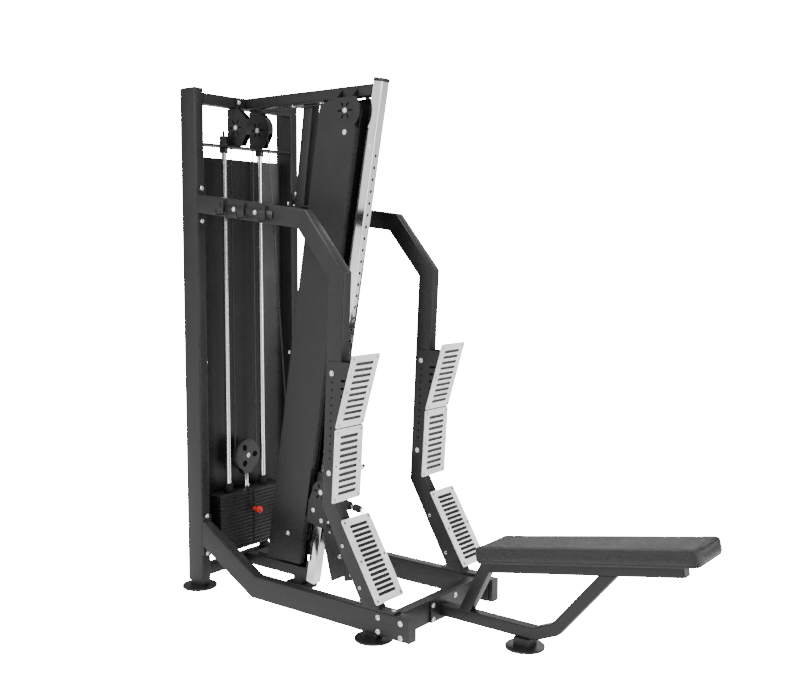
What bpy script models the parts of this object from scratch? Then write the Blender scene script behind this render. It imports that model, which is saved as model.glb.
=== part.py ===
"""Seated cable row with an adjustable pulley column and three pairs of foot plates.

Metres, +Z up.  +X runs from the weight stack towards the seat, +Y to the far side.
Every x below is measured from the back faces of the two uprights; the empty "machine"
carries the whole assembly so that the origin is under the middle of its bounding box.
"""
import math

import bmesh
import bpy
from mathutils import Matrix, Vector

# ---------------------------------------------------------------- driving dimensions
GAP = 0.0005                  # clearance between pieces that touch
WALL = 0.003                  # wall of every tube
PLATE = 0.008                 # bolted flanges
SHEET = 0.002                 # folded covers

HEIGHT = 2.292                # top of the uprights
HALF_TRACK = 0.305            # centre plane of each side frame
UPRIGHT = (0.100, 0.050)      # section along X and Y
SQUARE = 0.050                # square tube of beams, boom, column, seat
FRAME_DEPTH = 0.080           # side frame tube, seen from the side
RAIL_DEPTH = 0.100            # floor rail tube, seen from the side
RAIL_Z = 0.081                # centre height of the floor rails
RAIL_END = 1.298
FLOOR_CLEARANCE = 0.031       # underside of the floor rails

FOOT_R = 0.080
FOOT_T = 0.010

LEAN = math.radians(10.2)     # the pulley column leans towards the seat
COLUMN_X = 0.4846             # where the column's axis meets the floor
COLUMN_LOW = 0.034            # measured along the column
COLUMN_HIGH = 2.317
HOLE_TOP = 2.010
HOLE_PITCH = 0.0508
HOLE_COUNT = 32
HOLE_R = 0.006

BEAM_Z = 2.248                # centre of the top crossbeam and of the boom
BASE_BEAM_Z = 0.073
FRONT_BEAM_X = 1.205

PULLEY_R = 0.0575
GROOVE_R = 0.0453
CABLE_RUN_R = 0.050           # centre line of a cable on a pulley
PULLEY_W = 0.020
AXLE_R = 0.006
CABLE_R = 0.003
TOP_PULLEY = (0.100, 2.135)
TOP_PULLEY_Y = 0.070
FRONT_PULLEY = (0.748, -0.020, 2.166)
BOTTOM_PULLEY = (0.400, 0.020, 0.262)

ROD_X = 0.050
ROD_Y = 0.115
ROD_R = 0.0125
ROD_PLATE_Z = 2.048

STACK_X = (0.000, 0.100)
STACK_HALF_Y = 0.211
STACK_LOW = 0.137
PLATE_PITCH = 0.0173
PLATES_TOTAL = 16
PLATES_LIFTED = 6
LIFT_PULLEY_Z = 0.578
LIFT_GROOVE_R = 0.0655
LIFT_PULLEY_R = 0.076

SEAT_TILT = math.radians(10.0)
PAD_LENGTH = 0.935
PAD_WIDTH = 0.250
PAD_THICK = 0.065
PAD_REAR = (1.462, 0.3385)    # rear edge of the pad's underside

FOOT_PLATE_W = 0.176
FOOT_PLATE_T = 0.004
UPPER_TOP = (1.067, 1.161)    # front face, top edge of the upper plate
UPPER_LOW = (0.977, 0.864)
MIDDLE_TOP = (0.9765, 0.8595)
MIDDLE_LOW = (0.958, 0.555)
LOWER_TOP = (1.005, 0.495)
LOWER_LOW = (1.190, 0.184)

MACHINE_FRONT = PAD_REAR[0] + PAD_LENGTH * math.cos(SEAT_TILT)
MACHINE_REAR = 0.050 - FOOT_R
MIDDLE_X = (MACHINE_FRONT + MACHINE_REAR) / 2

# side frame, centre line from the upright to the floor rail
ARM_START = (0.1085, 1.7782)
ARM_END = (0.7364, 1.7012)
POST_TOP = (0.9273, 1.4732)
POST_LOW = (0.8826, 0.5308)
LEG_LOW = (1.1025, 0.1395)

# ---------------------------------------------------------------- start clean
for old in list(bpy.data.objects):
    bpy.data.objects.remove(old, do_unlink=True)

machine = bpy.data.objects.new("machine", None)
bpy.context.scene.collection.objects.link(machine)
machine.location = (-MIDDLE_X, 0.0, 0.0)

column_axis = bpy.data.objects.new("column_axis", None)
bpy.context.scene.collection.objects.link(column_axis)
column_axis.parent = machine
column_axis.location = (COLUMN_X, 0.0, 0.0)
column_axis.rotation_euler = (0.0, LEAN, 0.0)


def material(name, colour, roughness, metallic):
    """One Principled material for one finish."""
    made = bpy.data.materials.get(name)
    if made is None:
        made = bpy.data.materials.new(name)
        made.use_nodes = True
        shader = made.node_tree.nodes["Principled BSDF"]
        shader.inputs["Base Color"].default_value = (*colour, 1.0)
        shader.inputs["Roughness"].default_value = roughness
        shader.inputs["Metallic"].default_value = metallic
    return made


BLACK_PAINT = ("black_paint", (0.022, 0.022, 0.023), 0.45, 0.0)
SILVER_PAINT = ("silver_paint", (0.74, 0.74, 0.75), 0.40, 0.3)
CHROME = ("chrome", (0.80, 0.80, 0.81), 0.12, 1.0)
BRUSHED = ("brushed_steel", (0.62, 0.62, 0.63), 0.30, 1.0)
IRON = ("black_iron", (0.030, 0.030, 0.031), 0.55, 0.1)
BLACK_PLASTIC = ("black_plastic", (0.018, 0.018, 0.019), 0.40, 0.0)
RUBBER = ("black_rubber", (0.020, 0.020, 0.020), 0.75, 0.0)
RED_PLASTIC = ("red_plastic", (0.60, 0.03, 0.02), 0.35, 0.0)
UPHOLSTERY = ("upholstery", (0.030, 0.030, 0.032), 0.60, 0.0)
CABLE_COAT = ("cable_coat", (0.015, 0.015, 0.016), 0.35, 0.0)


# ---------------------------------------------------------------- making tools
def make(name, bm, parent=machine):
    """Turns a bmesh into an object, in its parent's own frame."""
    bmesh.ops.recalc_face_normals(bm, faces=bm.faces)
    mesh = bpy.data.meshes.new(name)
    bm.to_mesh(mesh)
    bm.free()
    obj = bpy.data.objects.new(name, mesh)
    bpy.context.scene.collection.objects.link(obj)
    obj["home"] = parent.name
    return obj


def settle(obj, finish, origin=(0.0, 0.0, 0.0), smooth=False):
    """Gives a finished piece its material, its origin and its parent."""
    obj.data.materials.clear()
    obj.data.materials.append(material(*finish))
    if smooth:
        obj.data.shade_smooth()
        obj.data.set_sharp_from_angle(angle=math.radians(35))
    obj.data.transform(Matrix.Translation(-Vector(origin)))
    obj.parent = bpy.data.objects[obj["home"]]
    obj.location = origin
    return obj


def combine(target, tool, operation="UNION"):
    """Applies one Boolean and removes the tool."""
    change = target.modifiers.new("boolean", "BOOLEAN")
    change.operation = operation
    change.object = tool
    graph = bpy.context.evaluated_depsgraph_get()
    mesh = bpy.data.meshes.new_from_object(target.evaluated_get(graph))
    target.modifiers.clear()
    target.data = mesh
    bpy.data.objects.remove(tool, do_unlink=True)
    return target


def fuse(target, *tools):
    for tool in tools:
        combine(target, tool)
    return target


def cut(target, *tools):
    for tool in tools:
        combine(target, tool, "DIFFERENCE")
    return target


def vent(target, start, end):
    """Drain hole through the closed end of a tube."""
    return cut(target, rod("vent", start, end, 0.008, 10))


def block(name, low, high, parent=machine):
    """A box between two corners."""
    bm = bmesh.new()
    size = [high[i] - low[i] for i in range(3)]
    centre = [(high[i] + low[i]) / 2 for i in range(3)]
    place = Matrix.Translation(centre) @ Matrix.Diagonal((*size, 1.0))
    bmesh.ops.create_cube(bm, size=1.0, matrix=place)
    return make(name, bm, parent)


def rod(name, start, end, radius, sides=16, parent=machine):
    """A round bar between two points."""
    start, end = Vector(start), Vector(end)
    along = end - start
    turn = along.to_track_quat("Z", "Y").to_matrix().to_4x4()
    place = Matrix.Translation((start + end) / 2) @ turn
    bm = bmesh.new()
    bmesh.ops.create_cone(bm, cap_ends=True, segments=sides, radius1=radius,
                          radius2=radius, depth=along.length, matrix=place)
    return make(name, bm, parent)


def flat(name, outline, holes, low, high, plane, parent=machine):
    """A plate: a 2D outline with holes, thick from low to high across its plane.

    Plane "XZ" is a side plate (thick along Y), "YZ" an end plate (thick along X) and
    "XY" a level plate (thick along Z).
    """
    lift = {
        "XZ": lambda p, d: (p[0], d, p[1]),
        "YZ": lambda p, d: (d, p[0], p[1]),
        "XY": lambda p, d: (p[0], p[1], d),
    }[plane]
    bm = bmesh.new()
    edges = []
    for loop in [outline, *holes]:
        ring = [bm.verts.new(lift(point, low)) for point in loop]
        for i, vert in enumerate(ring):
            edges.append(bm.edges.new((vert, ring[(i + 1) % len(ring)])))
    bmesh.ops.triangle_fill(bm, use_beauty=True, edges=edges)
    grown = bmesh.ops.extrude_face_region(bm, geom=list(bm.faces))
    moved = [item for item in grown["geom"] if isinstance(item, bmesh.types.BMVert)]
    step = Vector(lift((0.0, 0.0), high)) - Vector(lift((0.0, 0.0), low))
    bmesh.ops.translate(bm, verts=moved, vec=step)
    return make(name, bm, parent)


def rectangle(u0, v0, u1, v1):
    return [(u0, v0), (u1, v0), (u1, v1), (u0, v1)]


def rounded(u0, v0, u1, v1, radius, steps=3):
    """A rectangle with round corners."""
    points = []
    corners = [(u1 - radius, v0 + radius, -90), (u1 - radius, v1 - radius, 0),
               (u0 + radius, v1 - radius, 90), (u0 + radius, v0 + radius, 180)]
    for cu, cv, first in corners:
        for i in range(steps + 1):
            angle = math.radians(first + 90 * i / steps)
            points.append((cu + radius * math.cos(angle), cv + radius * math.sin(angle)))
    return points


def arc(centre, radius, first, last, steps):
    """Points on an arc, angles in degrees."""
    points = []
    for i in range(steps + 1):
        angle = math.radians(first + (last - first) * i / steps)
        points.append((centre[0] + radius * math.cos(angle), centre[1] + radius * math.sin(angle)))
    return points


def circle(centre, radius, sides=12):
    return arc(centre, radius, 0, 360 * (sides - 1) / sides, sides - 1)


def slot(centre_u, centre_v, length, height):
    """A slot with pointed ends, which scene work rounds."""
    a, b = length / 2, height / 2
    return [(centre_u - a, centre_v), (centre_u - a + b, centre_v - b),
            (centre_u + a - b, centre_v - b), (centre_u + a, centre_v),
            (centre_u + a - b, centre_v + b), (centre_u - a + b, centre_v + b)]


def path_tube(name, points, depth, width, y=0.0, start_normal=None, end_normal=None, parent=machine):
    """A welded rectangular tube that follows a path in the XZ plane.

    Corners are mitred.  Each end is cut square to the tube, or square to the normal given.
    """
    stations = []
    count = len(points)
    path = [Vector((p[0], 0.0, p[1])) for p in points]
    for i, point in enumerate(path):
        before = (path[i] - path[i - 1]).normalized() if i else None
        after = (path[i + 1] - path[i]).normalized() if i < count - 1 else None
        if before is None:
            cut_normal = Vector((start_normal[0], 0, start_normal[1])) if start_normal else after
            heading = after
        elif after is None:
            cut_normal = Vector((end_normal[0], 0, end_normal[1])) if end_normal else before
            heading = before
        else:
            cut_normal = (before + after).normalized()
            heading = before
        side = Vector((heading.z, 0.0, -heading.x))
        stations.append((point, heading, side, cut_normal))
    bm = bmesh.new()
    rings = []
    for half_depth, half_width in ((depth / 2, width / 2), (depth / 2 - WALL, width / 2 - WALL)):
        for point, heading, side, normal in stations:
            ring = []
            for across, wide in ((-1, -1), (1, -1), (1, 1), (-1, 1)):
                offset = side * (across * half_depth)
                slide = -offset.dot(normal) / heading.dot(normal)
                place = point + offset + heading * slide + Vector((0, y + wide * half_width, 0))
                ring.append(bm.verts.new(place))
            rings.append(ring)
    outer, inner = rings[:count], rings[count:]
    for shell in (outer, inner):
        for first, second in zip(shell, shell[1:]):
            for k in range(4):
                bm.faces.new((first[k], first[(k + 1) % 4], second[(k + 1) % 4], second[k]))
    for end in (0, count - 1):
        for k in range(4):
            bm.faces.new((outer[end][k], outer[end][(k + 1) % 4], inner[end][(k + 1) % 4], inner[end][k]))
    return make(name, bm, parent)


def cross_tube(name, x, z, depth_x, depth_z, y0, y1):
    """A rectangular tube along Y, open at both ends."""
    bm = bmesh.new()
    rings = []
    for half_x, half_z in ((depth_x / 2, depth_z / 2), (depth_x / 2 - WALL, depth_z / 2 - WALL)):
        for y in (y0, y1):
            rings.append([bm.verts.new((x + a * half_x, y, z + b * half_z))
                          for a, b in ((-1, -1), (1, -1), (1, 1), (-1, 1))])
    for first, second in ((rings[0], rings[1]), (rings[2], rings[3]),
                          (rings[0], rings[2]), (rings[1], rings[3])):
        for k in range(4):
            bm.faces.new((first[k], first[(k + 1) % 4], second[(k + 1) % 4], second[k]))
    return make(name, bm)


def turned(name, profile, centre, axis="Y", steps=24, parent=machine):
    """Turns a closed profile of (radius, height along the axis) about an axis."""
    bm = bmesh.new()
    place = {"Y": lambda r, h: (r, h, 0.0), "X": lambda r, h: (h, r, 0.0), "Z": lambda r, h: (r, 0.0, h)}[axis]
    spin_axis = {"Y": (0, 1, 0), "X": (1, 0, 0), "Z": (0, 0, 1)}[axis]
    ring = [bm.verts.new(place(r, h)) for r, h in profile]
    edges = [bm.edges.new((ring[i], ring[(i + 1) % len(ring)])) for i in range(len(ring))]
    bmesh.ops.spin(bm, geom=ring + edges, cent=(0, 0, 0), axis=spin_axis,
                   angle=math.tau, steps=steps, use_merge=True)
    bmesh.ops.remove_doubles(bm, verts=bm.verts, dist=0.00001)
    bmesh.ops.translate(bm, verts=bm.verts, vec=centre)
    return make(name, bm, parent)


def spun(name, profile, axis):
    """Solid of revolution of a profile that starts and ends on the axis: (radius, height) pairs."""
    bm = bmesh.new()
    along = {"X": (1, 0, 0), "Z": (0, 0, 1)}[axis]
    ring = [bm.verts.new((h, r, 0.0) if axis == "X" else (r, 0.0, h)) for r, h in profile]
    edges = [bm.edges.new(pair) for pair in zip(ring, ring[1:])]
    bmesh.ops.spin(bm, geom=ring + edges, cent=(0, 0, 0), axis=along, angle=math.tau, steps=16, use_merge=True)
    bmesh.ops.remove_doubles(bm, verts=bm.verts, dist=0.00001)
    return make(name, bm)


def pulley(name, centre, axis="Y", outer=PULLEY_R, groove=GROOVE_R, parent=machine):
    """A grooved cable pulley on its axle."""
    half = PULLEY_W / 2
    bore = AXLE_R + GAP
    profile = [(bore, -half), (outer, -half), (outer, -half + 0.003), (groove, -0.0042),
               (groove, 0.0042), (outer, half - 0.003), (outer, half), (bore, half)]
    return settle(turned(name, profile, centre, axis, parent=parent), BLACK_PLASTIC, centre, smooth=True)


def cable(name, points, parent=machine):
    """A round cable along a list of points."""
    curve = bpy.data.curves.new(name, "CURVE")
    curve.dimensions = "3D"
    curve.bevel_depth = CABLE_R
    curve.bevel_resolution = 2
    curve.use_fill_caps = True
    line = curve.splines.new("POLY")
    line.points.add(len(points) - 1)
    for target, point in zip(line.points, points):
        target.co = (*point, 1.0)
    obj = bpy.data.objects.new(name, curve)
    bpy.context.scene.collection.objects.link(obj)
    curve.materials.append(material(*CABLE_COAT))
    obj.parent = parent
    return obj


def tilt_between(low, high):
    """Length of a plate seen edge on, and its lean from upright towards +X."""
    dx, dz = high[0] - low[0], high[1] - low[1]
    return math.hypot(dx, dz), math.atan2(dx, dz)


SIDES = (("near", -1), ("far", 1))


# ---------------------------------------------------------------- uprights and top beams
def build_upright(side, sign):
    y = sign * HALF_TRACK
    post = path_tube(f"{side}_upright", [(UPRIGHT[0] / 2, FLOOR_CLEARANCE), (UPRIGHT[0] / 2, HEIGHT)],
                     UPRIGHT[0], UPRIGHT[1], y)
    settle(post, BLACK_PAINT, (UPRIGHT[0] / 2, y, FLOOR_CLEARANCE))


def build_top_beam():
    reach = HALF_TRACK - UPRIGHT[1] / 2 - GAP
    x = UPRIGHT[0] - SQUARE / 2
    beam = cross_tube("top_crossbeam", x, BEAM_Z, SQUARE, SQUARE, -reach, reach)
    settle(beam, BLACK_PAINT, (x, 0, BEAM_Z))


def build_boom():
    """Square boom with an end flange at each end and the fork of the front pulley."""
    start = UPRIGHT[0] + GAP
    lean = (math.cos(LEAN), -math.sin(LEAN))
    end_x = COLUMN_X + BEAM_Z * math.tan(LEAN) - (SQUARE / 2 + PLATE + GAP) / math.cos(LEAN)
    boom = path_tube("top_boom", [(start + PLATE, BEAM_Z), (end_x, BEAM_Z)], SQUARE, SQUARE,
                     end_normal=lean)
    back = block("flange", (start, -0.085, BEAM_Z - 0.024), (start + PLATE + 0.001, 0.085, BEAM_Z + 0.024))
    slide = PLATE / math.cos(LEAN)
    tall, low = 0.028, 0.033
    rise = math.tan(LEAN)
    plate = flat("end_plate", [(end_x - 0.001 - low * rise, BEAM_Z - low),
                               (end_x + slide - low * rise, BEAM_Z - low),
                               (end_x + slide + tall * rise, BEAM_Z + tall),
                               (end_x - 0.001 + tall * rise, BEAM_Z + tall)], [], -0.025, 0.025, "XZ")
    x, y, z = FRONT_PULLEY
    fork = []
    for sign in (-1, 1):
        inner = y + sign * (PULLEY_W / 2 + 0.002)
        outer = inner + sign * 0.003
        fork.append(block("fork", (x - 0.022, min(inner, outer), z - 0.020),
                          (x + 0.022, max(inner, outer), BEAM_Z - SQUARE / 2 + 0.001)))
    axle = rod("axle", (x, y - 0.014, z), (x, y + 0.014, z), AXLE_R, 12)
    fuse(boom, back, plate, *fork, axle)
    vent(boom, (start - 0.01, 0, BEAM_Z), (start + 0.03, 0, BEAM_Z))
    settle(boom, BLACK_PAINT, (start, 0, BEAM_Z))


def build_strut():
    """Tube that props the boom off the bar between the two upper arms."""
    top_z = BEAM_Z - SQUARE / 2 - GAP
    low_z = 1.7725
    top = (0.498, top_z - PLATE)
    low = (0.440, low_z)
    strut = path_tube("boom_strut", [low, top], 0.056, SQUARE, start_normal=(0, 1), end_normal=(0, 1))
    upper = block("flange", (top[0] - 0.105, -0.040, top[1] - 0.001), (top[0] + 0.105, 0.040, top_z))
    lower = block("flange", (low[0] - 0.062, -0.030, low_z - PLATE), (low[0] + 0.062, 0.030, low_z + 0.001))
    fuse(strut, upper, lower)
    vent(strut, (low[0], 0, low_z - 0.02), (low[0], 0, low_z + 0.02))
    settle(strut, BLACK_PAINT, (low[0], 0, low_z))
    reach = HALF_TRACK - UPRIGHT[1] / 2 - GAP
    z = low_z - PLATE - GAP - SQUARE / 2
    bar = cross_tube("arm_crossbar", low[0], z, SQUARE, SQUARE, -reach, reach)
    settle(bar, BLACK_PAINT, (low[0], 0, z))


# ---------------------------------------------------------------- floor frame
def build_floor_rail(side, sign):
    y = sign * HALF_TRACK
    start = UPRIGHT[0] + GAP
    rail = path_tube(f"{side}_floor_rail", [(start + PLATE, 0.2617), (0.4306, RAIL_Z), (RAIL_END, RAIL_Z)],
                     RAIL_DEPTH, UPRIGHT[1], y, start_normal=(1, 0))
    flange = block("flange", (start, y - 0.025, 0.158), (start + PLATE + 0.001, y + 0.025, 0.350))
    cap = block("cap", (RAIL_END - 0.001, y - 0.0245, RAIL_Z - 0.0495),
                (RAIL_END + 0.003, y + 0.0245, RAIL_Z + 0.0495))
    fuse(rail, flange, cap)
    vent(rail, (start - 0.01, y, 0.250), (start + 0.03, y, 0.250))
    settle(rail, BLACK_PAINT, (start, y, RAIL_Z))


def build_cross_rails():
    reach = HALF_TRACK - UPRIGHT[1] / 2 - GAP
    base = cross_tube("base_crossbeam", 0.050, BASE_BEAM_Z, SQUARE, SQUARE, -reach, reach)
    settle(base, BLACK_PAINT, (0.050, 0, BASE_BEAM_Z))
    front = cross_tube("front_crossbeam", FRONT_BEAM_X, RAIL_Z, SQUARE, RAIL_DEPTH - 0.002,
                       -reach + PLATE, reach - PLATE)
    ends = []
    for sign in (-1, 1):
        inner, outer = sorted((sign * (reach - PLATE - 0.001), sign * reach))
        ends.append(block("flange", (FRONT_BEAM_X - 0.075, inner, RAIL_Z - 0.048),
                          (FRONT_BEAM_X + 0.075, outer, RAIL_Z + 0.048)))
    fuse(front, *ends)
    vent(front, (FRONT_BEAM_X, reach - 0.02, RAIL_Z), (FRONT_BEAM_X, reach + 0.01, RAIL_Z))
    settle(front, BLACK_PAINT, (FRONT_BEAM_X, 0, RAIL_Z))


def build_centre_rail():
    """Short rail from the rear beam to the column, with the bottom pulley's fork."""
    start = 0.075 + GAP
    back_x = COLUMN_X + BASE_BEAM_Z * math.tan(LEAN) - (SQUARE / 2 + GAP) / math.cos(LEAN)
    rail = path_tube("centre_floor_rail", [(start, BASE_BEAM_Z), (back_x - PLATE, BASE_BEAM_Z)],
                     SQUARE, SQUARE, end_normal=(math.cos(LEAN), -math.sin(LEAN)))
    rise = math.tan(LEAN)
    plate = flat("end_plate", [(back_x - PLATE - 0.001 - 0.023 * rise, BASE_BEAM_Z - 0.023),
                               (back_x - 0.023 * rise, BASE_BEAM_Z - 0.023),
                               (back_x + 0.060 * rise, BASE_BEAM_Z + 0.060),
                               (back_x - PLATE - 0.001 + 0.060 * rise, BASE_BEAM_Z + 0.060)],
                 [], -0.025, 0.025, "XZ")
    x, y, z = BOTTOM_PULLEY
    top = BASE_BEAM_Z + SQUARE / 2
    saddle = block("saddle", (x - 0.030, -0.036, top - 0.001), (x + 0.030, 0.040, top + 0.005))
    fork = []
    for inner in (y - PULLEY_W / 2 - 0.002 - 0.004, y + PULLEY_W / 2 + 0.002):
        fork.append(block("fork", (x - 0.025, inner, top), (x + 0.025, inner + 0.004, z + 0.020)))
    axle = rod("axle", (x, y - 0.014, z), (x, y + 0.014, z), AXLE_R, 12)
    settle(fuse(rail, plate, saddle, *fork, axle), BLACK_PAINT, (start, 0, BASE_BEAM_Z))


def build_foot(name, x, y, top, post):
    """Round levelling foot with its square post."""
    profile = [(0.0, 0.0), (FOOT_R - 0.002, 0.0), (FOOT_R, 0.003), (FOOT_R, FOOT_T - 0.003),
               (FOOT_R - 0.003, FOOT_T), (0.0, FOOT_T)]
    bm = bmesh.new()
    ring = [bm.verts.new((r, 0.0, h)) for r, h in profile]
    edges = [bm.edges.new((ring[i], ring[i + 1])) for i in range(len(ring) - 1)]
    bmesh.ops.spin(bm, geom=ring + edges, cent=(0, 0, 0), axis=(0, 0, 1), angle=math.tau,
                   steps=28, use_merge=True)
    bmesh.ops.remove_doubles(bm, verts=bm.verts, dist=0.00001)
    bmesh.ops.translate(bm, verts=bm.verts, vec=(x, y, 0.0))
    disc = make(name, bm)
    half_x, half_y = post
    stem = block("post", (x - half_x, y - half_y, FOOT_T - 0.001), (x + half_x, y + half_y, top - GAP))
    settle(fuse(disc, stem), RUBBER, (x, y, 0.0), smooth=True)


def build_feet():
    for side, sign in SIDES:
        build_foot(f"{side}_rear_foot", 0.050, sign * HALF_TRACK, FLOOR_CLEARANCE, (0.040, 0.022))
        build_foot(f"{side}_front_foot", 1.102, sign * HALF_TRACK, FLOOR_CLEARANCE, (0.030, 0.022))
    build_foot("centre_foot", 0.410, 0.0, BASE_BEAM_Z - SQUARE / 2, (0.026, 0.024))
    build_foot("seat_foot", 1.631, 0.0, 0.0465, (0.035, 0.035))


# ---------------------------------------------------------------- side frames and foot plates
def build_side_frame(side, sign):
    y = sign * HALF_TRACK
    frame = path_tube(f"{side}_side_frame", [ARM_START, ARM_END, POST_TOP, POST_LOW, LEG_LOW],
                      FRAME_DEPTH, UPRIGHT[1], y, start_normal=(1, 0), end_normal=(0, 1))
    start = UPRIGHT[0] + GAP
    flange = block("flange", (start, y - 0.025, 1.684), (start + PLATE + 0.001, y + 0.025, 1.852))
    rail_top = RAIL_Z + RAIL_DEPTH / 2
    base = block("base", (1.020, y - 0.025, rail_top + GAP), (1.225, y + 0.025, rail_top + 0.0095))
    fuse(frame, flange, base)
    vent(frame, (start - 0.01, y, ARM_START[1]), (start + 0.03, y, ARM_START[1]))
    settle(frame, BLACK_PAINT, (start, y, ARM_START[1]))


def post_centre_x(z):
    """The post's centre line at a height."""
    share = (z - POST_LOW[1]) / (POST_TOP[1] - POST_LOW[1])
    return POST_LOW[0] + share * (POST_TOP[0] - POST_LOW[0])


def build_upper_bracket(side, sign):
    """Two cheeks that hug the post and carry one bent backing plate."""
    y = sign * HALF_TRACK
    back = FOOT_PLATE_T + GAP + 0.0005
    web_t = 0.004
    top_len, top_tilt = tilt_between(UPPER_LOW, UPPER_TOP)
    mid_len, mid_tilt = tilt_between(MIDDLE_LOW, MIDDLE_TOP)

    def behind(point, tilt, depth):
        return (point[0] - depth * math.cos(tilt), point[1] + depth * math.sin(tilt))

    front = [behind(MIDDLE_LOW, mid_tilt, back), behind(UPPER_LOW, (mid_tilt + top_tilt) / 2, back),
             behind(UPPER_TOP, top_tilt, back)]
    rear = [behind(MIDDLE_LOW, mid_tilt, back + web_t), behind(UPPER_LOW, (mid_tilt + top_tilt) / 2, back + web_t),
            behind(UPPER_TOP, top_tilt, back + web_t)]
    web = flat(f"{side}_foot_bracket", front + rear[::-1], [], y - 0.085, y + 0.085, "XZ")
    low_z, top_z = 0.632, 1.126
    into = 0.002
    reach = [(p[0] + into, p[1]) for p in rear]
    bend = reach[1]

    def web_x(z):
        low, high = (reach[0], bend) if z < bend[1] else (bend, reach[2])
        return low[0] + (z - low[1]) / (high[1] - low[1]) * (high[0] - low[0])

    outline = [(post_centre_x(low_z) - 0.030, low_z), (web_x(low_z), low_z), bend,
               (web_x(top_z), top_z), (post_centre_x(top_z) - 0.030, top_z)]
    windows = []
    for i in range(4):
        z = 1.050 - 0.0322 * i
        tip = web_x(z) - 0.012
        start = post_centre_x(z) + 0.044
        windows.append(slot((start + tip) / 2, z, tip - start, 0.009))
    cheeks = []
    for wide in (-1, 1):
        inner = y + wide * (UPRIGHT[1] / 2 + GAP)
        outer = inner + wide * 0.0035
        cheeks.append(flat("cheek", outline, windows, min(inner, outer), max(inner, outer), "XZ"))
    settle(fuse(web, *cheeks), BLACK_PAINT, (post_centre_x(1.077), y, 1.077))


def build_lower_bracket(side, sign):
    """Cheeks on the leg with the lower plate's backing plate."""
    y = sign * HALF_TRACK
    length, tilt = tilt_between(LOWER_LOW, LOWER_TOP)
    back = FOOT_PLATE_T + GAP + 0.0005
    web_t = 0.004
    along = Vector((math.sin(tilt), math.cos(tilt)))
    across = Vector((math.cos(tilt), -math.sin(tilt)))
    low = Vector(LOWER_LOW)

    def at(s, d):
        point = low + along * s - across * d
        return (point.x, point.y)

    web = flat(f"{side}_lower_bracket", [at(0.004, back), at(length - 0.002, back),
                                         at(length - 0.002, back + web_t), at(0.004, back + web_t)],
               [], y - 0.085, y + 0.085, "XZ")
    outline = [at(0.035, back + web_t - 0.002), at(length - 0.012, back + web_t - 0.002),
               at(length - 0.012, 0.075), at(0.262, 0.128), at(0.050, 0.128)]
    cheeks = []
    for wide in (-1, 1):
        inner = y + wide * (UPRIGHT[1] / 2 + GAP)
        outer = inner + wide * 0.0035
        cheeks.append(flat("cheek", outline, [], min(inner, outer), max(inner, outer), "XZ"))
    settle(fuse(web, *cheeks), BLACK_PAINT, (*at(0.15, 0.09)[:1], y, at(0.15, 0.09)[1]))


def build_foot_plate(name, low, high, y, slots):
    """A slotted tread plate that stands on its lower edge and leans to its place."""
    length, tilt = tilt_between(low, high)
    half = FOOT_PLATE_W / 2
    margin = 0.036
    pitch = (length - 2 * margin) / (slots - 1)
    holes = [slot(0.0, margin + pitch * i, 0.112, 0.0085) for i in range(slots)]
    axis = bpy.data.objects.new(f"{name}_edge", None)
    bpy.context.scene.collection.objects.link(axis)
    axis.parent = machine
    axis.location = (low[0], y, low[1])
    axis.rotation_euler = (0.0, tilt, 0.0)
    plate = flat(name, rounded(-half, 0.0, half, length, 0.008), holes, -FOOT_PLATE_T, 0.0, "YZ", axis)
    settle(plate, SILVER_PAINT)


def build_foot_plates():
    for side, sign in SIDES:
        y = sign * HALF_TRACK
        build_foot_plate(f"{side}_upper_foot_plate", UPPER_LOW, UPPER_TOP, y, 10)
        build_foot_plate(f"{side}_middle_foot_plate", MIDDLE_LOW, MIDDLE_TOP, y, 10)
        build_foot_plate(f"{side}_lower_foot_plate", LOWER_LOW, LOWER_TOP, y, 15)


def build_hook_rail():
    """Flat bar with three J hooks, bolted to the near arm."""
    tilt = math.atan2(ARM_START[1] - ARM_END[1], ARM_END[0] - ARM_START[0])
    slope = math.tan(tilt)
    y = -HALF_TRACK - UPRIGHT[1] / 2 - GAP
    x0, x1 = 0.250, 0.578

    def arm_z(x):
        return ARM_START[1] - (x - ARM_START[0]) * slope

    bar = flat("hook_rail", [(x0, arm_z(x0) - 0.016), (x1, arm_z(x1) - 0.016),
                             (x1, arm_z(x1) + 0.016), (x0, arm_z(x0) + 0.016)], [], y - 0.005, y, "XZ")
    thick = 0.007
    for x in (0.283, 0.411, 0.539):
        z = arm_z(x)
        top, low, out, tip = z + 0.030, z - 0.030, 0.040, z + 0.004
        back = y - 0.004
        outer = arc((back - out / 2, low), out / 2, 0, -180, 8)
        inner = arc((back - out / 2, low), out / 2 - thick, -180, 0, 8)
        outline = [(back, top), *outer, (back - out, tip), (back - out + thick, tip), *inner, (back - thick, top)]
        hook = flat("hook", outline, [], x - 0.009, x + 0.009, "YZ")
        fuse(bar, hook)
    settle(bar, BLACK_PAINT, (x0, y, arm_z(x0)))


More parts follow.
